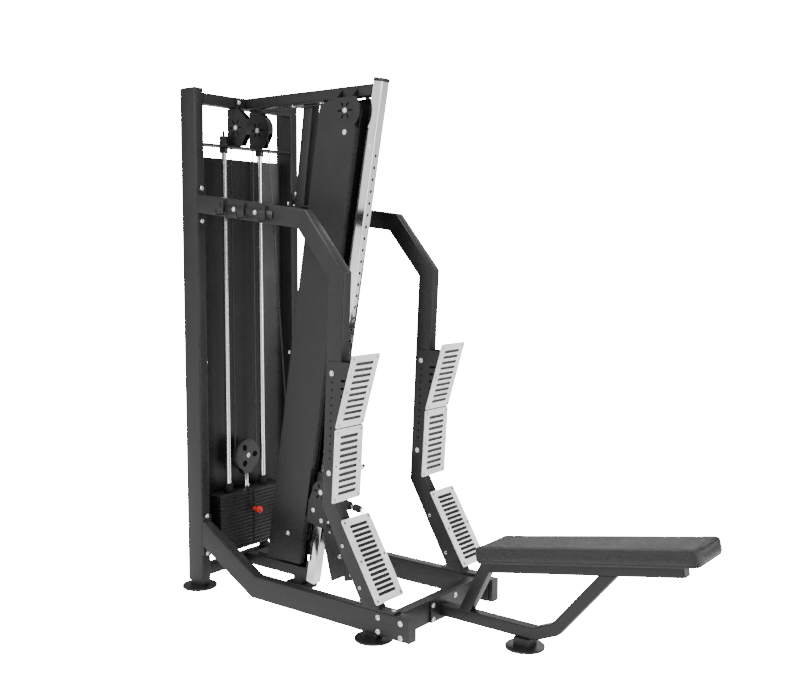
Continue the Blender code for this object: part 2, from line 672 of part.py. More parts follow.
# ---------------------------------------------------------------- seat
def build_seat():
    tilt = SEAT_TILT
    rise = math.tan(tilt)
    corner = (1.453, 0.3005)
    beam_end = (2.285, corner[1] + (2.285 - corner[0]) * rise)
    rail_top = 0.0965
    rail = path_tube("seat_frame", [(FRONT_BEAM_X + SQUARE / 2 + GAP + PLATE, 0.0715), (1.683, 0.0715),
                                   (1.7735, 0.111), (1.9915, 0.3706)],
                     SQUARE, SQUARE, start_normal=(1, 0), end_normal=(-math.sin(tilt), math.cos(tilt)))
    flange_x = FRONT_BEAM_X + SQUARE / 2 + GAP
    flange = block("flange", (flange_x, -0.095, 0.032), (flange_x + PLATE + 0.001, 0.095, 0.130))
    beam = path_tube("beam", [(1.3545, rail_top - 0.001), corner, beam_end], 0.0498, 0.0498,
                     start_normal=(0, 1))
    cap = block("cap", (-0.001, -0.0245, -0.0245), (0.003, 0.0245, 0.0245))
    cap.data.transform(Matrix.Translation((beam_end[0], 0, beam_end[1])) @ Matrix.Rotation(-tilt, 4, "Y"))
    fuse(rail, flange, fuse(beam, cap))
    vent(rail, (flange_x - 0.01, 0, 0.0715), (flange_x + 0.03, 0, 0.0715))
    vent(rail, (beam_end[0] - 0.02, 0, beam_end[1]), (beam_end[0] + 0.02, 0, beam_end[1]))
    settle(rail, BLACK_PAINT, (flange_x, 0, 0.0715))
    axis = bpy.data.objects.new("pad_base", None)
    bpy.context.scene.collection.objects.link(axis)
    axis.parent = machine
    axis.location = (PAD_REAR[0], 0.0, PAD_REAR[1])
    axis.rotation_euler = (0.0, -tilt, 0.0)
    half = PAD_WIDTH / 2
    pad = flat("seat_pad", rounded(0.0, -half, PAD_LENGTH, half, 0.018), [], 0.0, PAD_THICK, "XY", axis)
    soft = pad.modifiers.new("soft_edge", "BEVEL")
    soft.width = 0.012
    soft.segments = 2
    soft.limit_method = "ANGLE"
    settle(pad, UPHOLSTERY, smooth=True)


# ---------------------------------------------------------------- column, covers, shroud
def build_column():
    column = path_tube("pulley_column", [(0.0, COLUMN_LOW), (0.0, COLUMN_HIGH)], SQUARE, SQUARE,
                       parent=column_axis)
    drills = bmesh.new()
    turn = Matrix.Rotation(math.pi / 2, 4, "Y")
    for i in range(HOLE_COUNT):
        place = Matrix.Translation((SQUARE / 2, 0, HOLE_TOP - HOLE_PITCH * i)) @ turn
        bmesh.ops.create_cone(drills, cap_ends=True, segments=8, radius1=HOLE_R, radius2=HOLE_R,
                              depth=0.010, matrix=place)
    cut(column, make("drills", drills, column_axis))
    cap = block("cap", (-0.0265, -0.0265, COLUMN_HIGH - 0.001), (0.0265, 0.0265, COLUMN_HIGH + 0.015),
                column_axis)
    settle(fuse(column, cap), CHROME, (0, 0, COLUMN_LOW))


def build_cable_cover(side, sign):
    """Leaning sheet cover: side panel with a round head, front lip, top lip and gussets."""
    y = sign * 0.065
    low_rear, low_front = (0.2545, 0.126), (0.461, 0.126)
    high_front, high_rear = (0.8065, 2.095), (0.606, 2.200)
    head = (FRONT_PULLEY[0], FRONT_PULLEY[2])
    outline = [low_rear, low_front, high_front, *arc(head, 0.081, -52, 42, 8), (0.690, 2.2222), high_rear]
    inner, outer = sorted((y, y - sign * SHEET))
    panel = flat(f"{side}_cable_cover", outline, [], inner, outer, "XZ")
    lip_y = sorted((y - sign * 0.0005, sign * 0.0335))
    slope = (high_front[0] - low_front[0]) / (high_front[1] - low_front[1])
    lip = flat("lip", [(low_front[0] - SHEET, low_front[1]), low_front,
                       (high_front[0] - 0.003 * slope, high_front[1] - 0.003),
                       (high_front[0] - 0.003 * slope - SHEET, high_front[1] - 0.003)], [], *lip_y, "XZ")
    top_z = 2.2222
    shelf_y = sorted((y - sign * 0.0005, sign * 0.0375))
    shelf = block("shelf", (0.690, shelf_y[0], top_z - SHEET), (0.800, shelf_y[1], top_z))
    gussets = []
    for x in (0.700, 0.785):
        foot, tip = y - sign * 0.001, sign * 0.0265
        gussets.append(flat("gusset", [(foot, top_z - 0.001), (tip, top_z - 0.001), (tip, top_z + 0.036)],
                            [], x - 0.0015, x + 0.0015, "YZ"))
    settle(fuse(panel, lip, shelf, *gussets), BLACK_PAINT, (*low_rear[:1], y, low_rear[1]))


def build_shroud():
    """Folded sheet behind the stack, bolted inside both uprights."""
    inside = HALF_TRACK - UPRIGHT[1] / 2 - GAP
    outer = [(0.085, -inside), (0.020, -inside), (-0.014, -0.190), (-0.014, 0.190), (0.020, inside),
             (0.085, inside)]
    inner = [(0.085, inside - SHEET), (0.0215, inside - SHEET), (-0.012, 0.1885), (-0.012, -0.1885),
             (0.0215, -inside + SHEET), (0.085, -inside + SHEET)]
    shroud = flat("rear_shroud", outer + inner, [], 0.145, 2.001, "XY")
    settle(shroud, BLACK_PAINT, (0.0, 0.0, 0.145))


# ---------------------------------------------------------------- guide rods and weight stack
def build_guide_rods():
    inside = HALF_TRACK - UPRIGHT[1] / 2 - GAP
    holes = [circle((ROD_X, s * ROD_Y), ROD_R + GAP) for s in (-1, 1)]
    holes += [circle((ROD_X, s * TOP_PULLEY_Y), 0.010, 8) for s in (-1, 1)]
    plate = flat("guide_rod_plate", rectangle(0.022, -inside, 0.099, inside), holes,
                 ROD_PLATE_Z - 0.004, ROD_PLATE_Z + 0.004, "XY")
    settle(plate, BLACK_PAINT, (ROD_X, 0, ROD_PLATE_Z))
    low = BASE_BEAM_Z + SQUARE / 2 + GAP
    for side, sign in SIDES:
        y = sign * ROD_Y
        collar, sleeve = 0.020, 0.024
        below, above = ROD_PLATE_Z - 0.004 - GAP, ROD_PLATE_Z + 0.004 + GAP
        profile = [(0.0, low), (sleeve, low), (sleeve, STACK_LOW - GAP), (ROD_R, STACK_LOW - GAP),
                   (ROD_R, below - 0.024), (collar, below - 0.024), (collar, below), (ROD_R, below),
                   (ROD_R, above), (collar, above), (collar, above + 0.045), (0.006, above + 0.045),
                   (0.006, above + 0.070), (0.0, above + 0.070)]
        if sign > 0:
            profile[9:11] = [(0.016, above), (0.016, above + 0.012)]
            profile[11:] = [(0.006, above + 0.012), (0.006, above + 0.020), (0.0, above + 0.020)]
        guide = spun(f"{side}_guide_rod", profile, "Z")
        guide.data.transform(Matrix.Translation((ROD_X, y, 0.0)))
        settle(guide, CHROME, (ROD_X, y, low), smooth=True)


def build_plates(name, first, count, extra):
    """A pile of iron weight plates, with a groove at each joint and its drilled holes."""
    bm = bmesh.new()
    rings = []
    groove = 0.0012
    low = STACK_LOW + PLATE_PITCH * first
    for i in range(count):
        bottom = low + PLATE_PITCH * i + (GAP if i == 0 else 0.0)
        top = low + PLATE_PITCH * (i + 1)
        steps = [(0.0, bottom), (0.0, top - 0.0014)]
        if i < count - 1:
            steps += [(groove, top - 0.0008), (groove, top - 0.0004)]
        else:
            steps[1] = (0.0, top - GAP)
        for inset, z in steps:
            rings.append([bm.verts.new((x, y, z)) for x, y in
                          rectangle(STACK_X[0] + inset, -STACK_HALF_Y + inset,
                                    STACK_X[1] - inset, STACK_HALF_Y - inset)])
    for lower, upper in zip(rings, rings[1:]):
        for k in range(4):
            bm.faces.new((lower[k], lower[(k + 1) % 4], upper[(k + 1) % 4], upper[k]))
    bm.faces.new(rings[0])
    bm.faces.new(rings[-1])
    pile = make(name, bm)
    high = low + PLATE_PITCH * count
    for tool in extra(low, high):
        fuse(pile, tool)
    for y, radius in ((-ROD_Y, ROD_R + 0.0015), (ROD_Y, ROD_R + 0.0015), (0.0, 0.0135)):
        cut(pile, rod("drill", (ROD_X, y, low - 0.01), (ROD_X, y, high + 0.06), radius))
    for i in range(count):
        z = low + PLATE_PITCH * (i + 0.5)
        cut(pile, rod("drill", (ROD_X, 0, z), (STACK_X[1] + 0.01, 0, z), 0.0052, 8))
    settle(pile, IRON, (ROD_X, 0, low))


def top_bushes(low, high):
    return [rod("bush", (ROD_X, s * ROD_Y, high - 0.002), (ROD_X, s * ROD_Y, high + 0.043), 0.022, 16)
            for s in (-1, 1)]


def build_lift_group():
    resting = PLATES_TOTAL - PLATES_LIFTED
    build_plates("resting_weight_plates", 0, resting, lambda low, high: [])
    build_plates("lifted_weight_plates", resting, PLATES_LIFTED, top_bushes)
    stack_top = STACK_LOW + PLATE_PITCH * PLATES_TOTAL
    pin_z = STACK_LOW + PLATE_PITCH * (resting + 0.5)
    low = STACK_LOW + 0.006
    selector = rod("selector_rod", (ROD_X, 0, low), (ROD_X, 0, stack_top + 0.074), 0.0115, 16)
    cut(selector, rod("drill", (ROD_X - 0.03, 0, pin_z), (ROD_X + 0.03, 0, pin_z), 0.0052, 8))
    settle(selector, CHROME, (ROD_X, 0, low), smooth=True)
    build_lift_pulley(stack_top)
    tip = ROD_X - 0.0118
    shaft = rod("selector_pin", (tip, 0, pin_z), (STACK_X[1] + 0.006, 0, pin_z), 0.0045, 10)
    knob_profile = [(0.0, 0.0), (0.011, 0.0), (0.011, 0.020), (0.016, 0.026), (0.017, 0.044),
                    (0.013, 0.050), (0.0, 0.050)]
    knob = spun("knob", knob_profile, "X")
    knob.data.transform(Matrix.Translation((STACK_X[1] + 0.0015, 0.0, pin_z)))
    settle(fuse(shaft, knob), RED_PLASTIC, (STACK_X[1], 0, pin_z), smooth=True)
    coil = [(0.066, -0.014, stack_top + 0.008), (0.104, -0.024, stack_top + 0.008),
            (0.1085, -0.024, stack_top - 0.004), (0.109, -0.024, stack_top - 0.030),
            (0.110, -0.0235, pin_z + 0.030), (0.112, -0.0225, pin_z + 0.006)]
    lanyard = cable("pin_lanyard", coil)
    lanyard.data.bevel_depth = 0.0055
    lanyard.location = (0, 0, 0)


def build_lift_pulley(stack_top):
    """Round cheeks either side of the moving pulley, on the selector rod's head."""
    centre = LIFT_PULLEY_Z
    half = PULLEY_W / 2 + 0.002
    rim = 0.078
    cheeks = []
    for sign in (-1, 1):
        low, high = sorted((ROD_X + sign * half, ROD_X + sign * (half + 0.004)))
        outline = [(-0.024, stack_top + 0.076), (0.024, stack_top + 0.076),
                   *arc((0.0, centre), rim, -62, 242, 22)]
        cheeks.append(flat("cheek", outline, [], low, high, "YZ"))
    yoke = block("yoke", (ROD_X - half - 0.001, -0.024, stack_top + 0.0745),
                 (ROD_X + half + 0.001, 0.024, stack_top + 0.0835))
    axle = rod("axle", (ROD_X - half - 0.001, 0, centre), (ROD_X + half + 0.001, 0, centre), AXLE_R, 12)
    body = fuse(yoke, *cheeks, axle)
    body.name = "lift_pulley_block"
    settle(body, BLACK_PLASTIC, (ROD_X, 0, centre))
    pulley("lift_pulley", (ROD_X, 0.0, centre), "X", LIFT_PULLEY_R, LIFT_GROOVE_R)
    route = [(ROD_X, -TOP_PULLEY_Y, TOP_PULLEY[1] - GAP)]
    route += [(ROD_X, p[0], p[1]) for p in arc((0.0, centre), TOP_PULLEY_Y, 180, 360, 16)]
    route += [(ROD_X, TOP_PULLEY_Y, TOP_PULLEY[1] - GAP)]
    cable("stack_cable", route)


# ---------------------------------------------------------------- top pulleys and cable
def build_top_pulley(side, sign):
    """Pulley under the top beam in a two-cheek housing with a curved front band."""
    y = sign * TOP_PULLEY_Y
    x, z = TOP_PULLEY
    top = BEAM_Z - SQUARE / 2 - GAP
    low = ROD_PLATE_Z + 0.004 + GAP
    outline = [(0.045, low), (0.135, low), *arc((x, z), 0.075, -28, 50, 8), (0.112, top), (0.045, top)]
    half = PULLEY_W / 2 + 0.003
    cheeks = []
    for wide in (-1, 1):
        inner, outer = sorted((y + wide * half, y + wide * (half + 0.003)))
        cheeks.append(flat("cheek", outline, [], inner, outer, "XZ"))
    first, last = (-27, 31) if sign < 0 else (-14, 49)
    band = flat(f"{side}_top_pulley_housing",
                arc((x, z), 0.0745, first, last, 8) + arc((x, z), 0.0715, last, first, 8),
                [], y - half - 0.001, y + half + 0.001, "XZ")
    axle = rod("axle", (x, y - half - 0.001, z), (x, y + half + 0.001, z), AXLE_R, 12)
    settle(fuse(band, *cheeks, axle), BLACK_PAINT, (x, y, z))
    pulley(f"{side}_top_pulley", (x, y, z))


def build_drive_cable():
    """One cable: near top pulley, boom, front pulley, column, bottom pulley, far top pulley."""
    x, z = TOP_PULLEY
    r = CABLE_RUN_R
    fx, fy, fz = FRONT_PULLEY
    bx, by, bz = BOTTOM_PULLEY
    boom_tilt = math.degrees(math.atan2(fz - z, fx - x))
    drop_tilt = math.degrees(math.atan2(fx - bx, fz - bz))
    back_tilt = math.degrees(math.atan2((bx - r) - (x + r), z - bz))
    route = [(p[0], -TOP_PULLEY_Y, p[1]) for p in arc((x, z), r, 180, 90 + boom_tilt, 8)]
    route += [(p[0], fy, p[1]) for p in arc((fx, fz), r, 90 + boom_tilt, -drop_tilt, 9)]
    route += [(p[0], by, p[1]) for p in arc((bx, bz), r, -drop_tilt, -180 + back_tilt, 12)]
    route += [(p[0], TOP_PULLEY_Y, p[1]) for p in arc((x, z), r, back_tilt, 180, 12)]
    cable("drive_cable", route)


def build_fixed_pulleys():
    for side, sign in SIDES:
        build_top_pulley(side, sign)
    pulley("front_pulley", FRONT_PULLEY, outer=0.0535)
    pulley("bottom_pulley", BOTTOM_PULLEY)
    build_drive_cable()


# ---------------------------------------------------------------- carriage, in the column's own frame
PIN_S = HOLE_TOP - 29 * HOLE_PITCH    # hole that the spring pin faces
SIDE_PULLEY = (0.030, -0.052, 0.500)
ARM_TIP_LOW = (0.1300, 0.436)
ARM_TIP_HIGH = (0.1215, 0.483)
SWIVEL_X = 0.062              # swivel axis, ahead of the column's centre line
SWIVEL_HUB = (0.150, 0.222)
LEVER_TIP = (0.190, 0.0, 0.662)       # the spring pin's hand lever


def build_carriage():
    """Sleeve around the column with side cheeks, a side pulley and the swivel's ears."""
    clear = 0.0015
    half = SQUARE / 2 + clear
    wall = 0.006
    low, high = 0.345, 0.572
    sleeve = flat("carriage", rectangle(-half - wall, -half - wall, half + wall, half + wall),
                  [rectangle(-half, -half, half, half)], low, high, "XY", column_axis)
    cheek_out = -0.0695
    cheek = flat("cheek", [(-0.030, 0.339), (0.076, 0.338), (0.088, 0.352), (0.070, 0.470),
                           *arc((SIDE_PULLEY[0], SIDE_PULLEY[2]), 0.052, -20, 190, 12), (-0.034, 0.440)],
                 [], cheek_out, cheek_out + 0.004, "XZ", column_axis)
    bridge = block("bridge", (-0.020, cheek_out + 0.003, 0.350), (0.026, -half - wall + 0.001, 0.395), column_axis)
    axle = rod("axle", (SIDE_PULLEY[0] - 0.001, cheek_out + 0.001, SIDE_PULLEY[2]),
               (SIDE_PULLEY[0] - 0.001, -half - wall + 0.001, SIDE_PULLEY[2]), AXLE_R, 12, column_axis)
    axle.data.transform(Matrix.Translation((0.001, 0, 0)))
    arm = flat("arm", [(half + wall - 0.001, 0.372), (0.080, 0.372), ARM_TIP_LOW, ARM_TIP_HIGH,
                       (half + wall - 0.001, 0.482)], [], -0.018, 0.018, "XZ", column_axis)
    guide = rod("guide", (half + wall - 0.001, 0.0, PIN_S), (0.062, 0.0, PIN_S), 0.013, 16, column_axis)
    body = fuse(sleeve, cheek, bridge, axle, arm, guide)
    cut(body, rod("drill", (half - 0.003, 0.0, PIN_S), (0.070, 0.0, PIN_S), 0.0065, 12, column_axis),
        rod("drill", (SWIVEL_X, 0.0, 0.30), (SWIVEL_X, 0.0, 0.405), 0.0085, 12, column_axis))
    settle(body, BLACK_PAINT, (0, 0, 0.440))
    pulley("carriage_pulley", SIDE_PULLEY, outer=0.044, groove=0.036, parent=column_axis)
    pin = rod("pop_pin", (SQUARE / 2 + GAP, 0.0, PIN_S), (0.088, 0.0, PIN_S), 0.0052, 12, column_axis)
    knob = rod("knob", (0.086, 0.0, PIN_S), (0.122, 0.0, PIN_S), 0.017, 16, column_axis)
    lever = rod("lever", (0.106, 0.0, PIN_S + 0.006), LEVER_TIP, 0.0055, 12, column_axis)
    ball = rod("ball", (0.179, 0.0, 0.648), (0.197, 0.0, 0.671), 0.0095, 16, column_axis)
    settle(fuse(pin, knob, lever, ball), CHROME, (0.062, 0, PIN_S), smooth=True)


def build_swivel():
    """Swivel fork under the carriage's arm: two black guard shells around its pulley."""
    low, high = 0.310, 0.335
    stem = rod("swivel_block", (SWIVEL_X, 0, low), (SWIVEL_X, 0, 0.402), 0.0075, 12, column_axis)
    crown = block("crown", (SWIVEL_X - 0.024, -0.022, 0.300), (SWIVEL_X + 0.040, 0.022, high - 0.001), column_axis)
    x, z = SWIVEL_HUB
    shells = []
    for sign in (-1, 1):
        inner, outer = sorted((sign * 0.0145, sign * 0.0205))
        outline = [(0.039, 0.310), (0.055, 0.233), (0.089, 0.158), (0.122, 0.088), (0.184, 0.134),
                   (0.186, 0.150), (0.198, 0.117), (0.253, 0.147), (0.251, 0.188), (0.236, 0.222),
                   (0.208, 0.258), (0.166, 0.294), (0.124, 0.316), (0.100, 0.333), (0.040, 0.333)]
        shells.append(flat("shell", outline, [], inner, outer, "XZ", column_axis))
    axle = rod("axle", (x, -0.016, z), (x, 0.016, z), AXLE_R, 12, column_axis)
    front = block("front_bar", (0.216, -0.016, 0.146), (0.236, 0.016, 0.158), column_axis)
    body = fuse(crown, stem, *shells, axle, front)
    body.name = "swivel_block"
    settle(body, BLACK_PLASTIC, (SWIVEL_X, 0, 0.345))
    pulley("swivel_pulley", (x, 0.0, z), outer=0.050, groove=0.0405, parent=column_axis)


def build_cable_end():
    """Rubber stop and hook sleeve at the cable's end, drawn up against the carriage's arm."""
    turn = Matrix.Rotation(-LEAN, 4, "Y")
    start = Vector(((ARM_TIP_LOW[0] + ARM_TIP_HIGH[0]) / 2 + GAP, 0.0, (ARM_TIP_LOW[1] + ARM_TIP_HIGH[1]) / 2))
    stop = rod("cable_stop", (0, 0, 0), (0.030, 0, 0), 0.021, 16, column_axis)
    link = rod("link", (0.029, 0, 0), (0.052, 0, -0.003), 0.006, 10, column_axis)
    sleeve = rod("sleeve", (0.050, 0, -0.0025), (0.088, 0, -0.0075), 0.017, 16, column_axis)
    eye = turned("eye", [(0.007, -0.0035), (0.014, -0.0035), (0.014, 0.0035), (0.007, 0.0035)],
                 (0.098, 0.0, -0.0085), "Y", 16, column_axis)
    body = fuse(stop, link, sleeve, eye)
    body.data.transform(Matrix.Translation(start) @ turn)
    settle(body, RUBBER, tuple(start), smooth=True)


for name, sign in SIDES:
    build_upright(name, sign)
    build_floor_rail(name, sign)
    build_side_frame(name, sign)
    build_upper_bracket(name, sign)
    build_lower_bracket(name, sign)
    build_cable_cover(name, sign)
build_top_beam()
build_boom()
build_strut()
build_cross_rails()
build_centre_rail()
build_feet()
build_foot_plates()
build_hook_rail()
build_seat()
build_column()
build_shroud()
build_guide_rods()
build_lift_group()
build_fixed_pulleys()
build_carriage()
build_swivel()
build_cable_end()
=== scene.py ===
import math

import bmesh
import bpy
import numpy as np
from mathutils import Matrix, Vector


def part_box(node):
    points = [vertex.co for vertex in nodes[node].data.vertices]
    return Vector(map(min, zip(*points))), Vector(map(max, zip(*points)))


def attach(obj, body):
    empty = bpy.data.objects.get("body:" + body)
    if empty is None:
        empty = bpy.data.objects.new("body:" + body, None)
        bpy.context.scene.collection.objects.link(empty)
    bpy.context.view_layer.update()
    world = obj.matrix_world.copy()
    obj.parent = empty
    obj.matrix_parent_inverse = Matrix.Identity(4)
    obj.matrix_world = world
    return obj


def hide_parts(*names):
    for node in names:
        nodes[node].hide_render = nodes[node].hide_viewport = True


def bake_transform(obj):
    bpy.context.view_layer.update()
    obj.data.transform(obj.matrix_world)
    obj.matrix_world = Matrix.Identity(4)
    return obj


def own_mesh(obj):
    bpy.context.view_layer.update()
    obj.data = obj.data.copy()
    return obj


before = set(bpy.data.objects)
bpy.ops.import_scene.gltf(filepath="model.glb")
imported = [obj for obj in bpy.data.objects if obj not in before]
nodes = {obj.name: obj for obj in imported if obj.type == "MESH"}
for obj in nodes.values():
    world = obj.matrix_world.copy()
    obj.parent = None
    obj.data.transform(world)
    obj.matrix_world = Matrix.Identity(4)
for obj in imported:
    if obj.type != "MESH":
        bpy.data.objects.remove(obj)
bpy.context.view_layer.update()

# ---------------------------------------------------------------- camera, floor and lights
# The machine stands on a plain white studio floor.  Every x in this file counts from the
# uprights' back faces, which lie at rear_x; y = 0 is the machine's middle and z = 0 the floor.
rear_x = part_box("near_upright")[0].x

lens_data = bpy.data.cameras.new("studio_camera")
lens_data.lens = 45.645
lens_data.sensor_width = 36.0
lens_data.clip_end = 60.0
camera = bpy.data.objects.new("studio_camera", lens_data)
bpy.context.scene.collection.objects.link(camera)
yaw, pitch, roll = 2.2262, 0.1016, 0.0029
forward = Vector((math.cos(yaw) * math.cos(pitch), math.sin(yaw) * math.cos(pitch), -math.sin(pitch)))
level_right = forward.cross(Vector((0, 0, 1))).normalized()
level_up = level_right.cross(forward)
right = math.cos(roll) * level_right + math.sin(roll) * level_up
up = math.cos(roll) * level_up - math.sin(roll) * level_right
camera.matrix_world = (Matrix.Translation((rear_x + 3.616, -3.406, 1.590))
                       @ Matrix((right, up, -forward)).transposed().to_4x4())
bpy.context.scene.camera = camera

world = bpy.data.worlds.new("studio")
world.use_nodes = True
backdrop = world.node_tree.nodes["Background"]
backdrop.inputs["Color"].default_value = (1.0, 1.0, 1.0, 1.0)
ray = world.node_tree.nodes.new("ShaderNodeLightPath")
glow = world.node_tree.nodes.new("ShaderNodeMapRange")       # the lit paper shows far brighter than it lights
glow.inputs["To Min"].default_value = 0.34
glow.inputs["To Max"].default_value = 40.0
world.node_tree.links.new(ray.outputs["Is Camera Ray"], glow.inputs["Value"])
world.node_tree.links.new(glow.outputs["Result"], backdrop.inputs["Strength"])
bpy.context.scene.world = world

floor_mesh = bpy.data.meshes.new("studio_floor")
reach = 30.0
floor_mesh.from_pydata([(-reach, -reach, 0), (reach, -reach, 0), (reach, reach, 0), (-reach, reach, 0)],
                       [], [(0, 1, 2, 3)])
floor = bpy.data.objects.new("studio_floor", floor_mesh)
bpy.context.scene.collection.objects.link(floor)
floor.location.z = -0.0004
paper = bpy.data.materials.new("studio_paper")
paper.use_nodes = True
sheet = paper.node_tree.nodes["Principled BSDF"]
sheet.inputs["Base Color"].default_value = (0.95, 0.95, 0.95, 1.0)
sheet.inputs["Roughness"].default_value = 0.75
sheet.inputs["Emission Color"].default_value = (1.0, 1.0, 1.0, 1.0)
ray = paper.node_tree.nodes.new("ShaderNodeLightPath")
seen = paper.node_tree.nodes.new("ShaderNodeMath")             # strength when looked at, and when mirrored
seen.operation = "MULTIPLY"
seen.inputs[1].default_value = 40.0
mirrored = paper.node_tree.nodes.new("ShaderNodeMath")
mirrored.operation = "MULTIPLY_ADD"
mirrored.inputs[1].default_value = 0.75
paper.node_tree.links.new(ray.outputs["Is Camera Ray"], seen.inputs[0])
paper.node_tree.links.new(ray.outputs["Is Glossy Ray"], mirrored.inputs[0])
paper.node_tree.links.new(seen.outputs[0], mirrored.inputs[2])
paper.node_tree.links.new(mirrored.outputs[0], sheet.inputs["Emission Strength"])
floor_mesh.materials.append(paper)


def softbox(name, place, aim, width, height, power):
    """A large soft lamp at one place that faces another."""
    lamp_data = bpy.data.lights.new(name, "AREA")
    lamp_data.shape = "RECTANGLE"
    lamp_data.size = width
    lamp_data.size_y = height
    lamp_data.energy = power
    lamp = bpy.data.objects.new(name, lamp_data)
    bpy.context.scene.collection.objects.link(lamp)
    lamp.location = place
    lamp.rotation_euler = (Vector(aim) - Vector(place)).to_track_quat("-Z", "Y").to_euler()


softbox("key_lamp", (-0.6, -4.4, 3.6), (0, 0, 1.0), 2.4, 2.4, 210)
softbox("left_lamp", (-3.4, -4.2, 1.7), (-0.2, 0, 1.1), 3.0, 3.4, 30)
softbox("front_lamp", (5.2, 1.2, 1.9), (0.2, 0, 1.0), 2.6, 3.6, 210)
softbox("top_lamp", (0.2, 0.0, 5.2), (0.0, 0, 0.0), 3.5, 2.0, 170)
softbox("back_lamp", (-1.5, 4.2, 3.0), (0.0, 0, 1.0), 3.0, 2.5, 60)


# ---------------------------------------------------------------- painted steel tubes
# The frame is rolled rectangular tube, 50 mm by 50, 80 or 100 mm, cut to mitres, welded and
# powder coated satin black.  The coat has a fine orange peel, a little dust on what faces up,
# and a slightly uneven sheen.
def effect_group(name, inputs, outputs):
    """An empty node group with float and vector sockets, each given as (name, kind, value)."""
    group = bpy.data.node_groups.new(name, "ShaderNodeTree")
    for socket, kind, value in inputs:
        made = group.interface.new_socket(socket, in_out="INPUT", socket_type=kind)
        if value is not None:
            made.default_value = value
    for socket in outputs:
        group.interface.new_socket(socket, in_out="OUTPUT", socket_type="NodeSocketFloat")
    return group, group.nodes.new("NodeGroupInput"), group.nodes.new("NodeGroupOutput")


def add_node(tree, kind, settings=None, **values):
    """One shader node with its options and the values of its sockets."""
    node = tree.nodes.new(kind)
    for option, value in (settings or {}).items():
        setattr(node, option, value)
    for socket, value in values.items():
        node.inputs[socket.replace("_", " ")].default_value = value
    return node


# surface_grain: two noises of one scale and of three times it, mixed two to one, as a height.
surface_grain, entry, leave = effect_group(
    "surface_grain", [("Vector", "NodeSocketVector", None), ("Scale", "NodeSocketFloat", 300.0)], ["Height"])
coarse = add_node(surface_grain, "ShaderNodeTexNoise", Detail=2.0, Roughness=0.5)
fine = add_node(surface_grain, "ShaderNodeTexNoise", Detail=1.0, Roughness=0.5)
triple = add_node(surface_grain, "ShaderNodeMath", {"operation": "MULTIPLY"})
triple.inputs[1].default_value = 3.0
blend = add_node(surface_grain, "ShaderNodeMix", Factor=0.35)
surface_grain.links.new(entry.outputs["Vector"], coarse.inputs["Vector"])
surface_grain.links.new(entry.outputs["Vector"], fine.inputs["Vector"])
surface_grain.links.new(entry.outputs["Scale"], coarse.inputs["Scale"])
surface_grain.links.new(entry.outputs["Scale"], triple.inputs[0])
surface_grain.links.new(triple.outputs[0], fine.inputs["Scale"])
surface_grain.links.new(coarse.outputs["Fac"], blend.inputs["A"])
surface_grain.links.new(fine.outputs["Fac"], blend.inputs["B"])
surface_grain.links.new(blend.outputs["Result"], leave.inputs["Height"])

# uneven_sheen: a slow cloud of noise, 0 to 1, that varies the roughness from place to place.
uneven_sheen, entry, leave = effect_group(
    "uneven_sheen", [("Vector", "NodeSocketVector", None), ("Scale", "NodeSocketFloat", 6.0)], ["Cloud"])
cloud = add_node(uneven_sheen, "ShaderNodeTexNoise", Detail=4.0, Roughness=0.6)
spread = add_node(uneven_sheen, "ShaderNodeMapRange")
spread.inputs["From Min"].default_value = 0.35
spread.inputs["From Max"].default_value = 0.65
uneven_sheen.links.new(entry.outputs["Vector"], cloud.inputs["Vector"])
uneven_sheen.links.new(entry.outputs["Scale"], cloud.inputs["Scale"])
uneven_sheen.links.new(cloud.outputs["Fac"], spread.inputs["Value"])
uneven_sheen.links.new(spread.outputs["Result"], leave.inputs["Cloud"])

# settled_dust: how far the surface faces up, to the third power, times a fine noise.
settled_dust, entry, leave = effect_group(
    "settled_dust", [("Vector", "NodeSocketVector", None), ("Amount", "NodeSocketFloat", 0.2)], ["Dust"])
facing = add_node(settled_dust, "ShaderNodeNewGeometry")
split = add_node(settled_dust, "ShaderNodeSeparateXYZ")
level = add_node(settled_dust, "ShaderNodeMath", {"operation": "MAXIMUM"})
level.inputs[1].default_value = 0.0
cube = add_node(settled_dust, "ShaderNodeMath", {"operation": "POWER"})
cube.inputs[1].default_value = 3.0
specks = add_node(settled_dust, "ShaderNodeTexNoise", Scale=90.0, Detail=5.0, Roughness=0.7)
mottle = add_node(settled_dust, "ShaderNodeMath", {"operation": "MULTIPLY"})
share = add_node(settled_dust, "ShaderNodeMath", {"operation": "MULTIPLY"})
settled_dust.links.new(facing.outputs["Normal"], split.inputs[0])
settled_dust.links.new(split.outputs["Z"], level.inputs[0])
settled_dust.links.new(level.outputs[0], cube.inputs[0])
settled_dust.links.new(entry.outputs["Vector"], specks.inputs["Vector"])
settled_dust.links.new(cube.outputs[0], mottle.inputs[0])
settled_dust.links.new(specks.outputs["Fac"], mottle.inputs[1])
settled_dust.links.new(mottle.outputs[0], share.inputs[0])
settled_dust.links.new(entry.outputs["Amount"], share.inputs[1])
settled_dust.links.new(share.outputs[0], leave.inputs["Dust"])

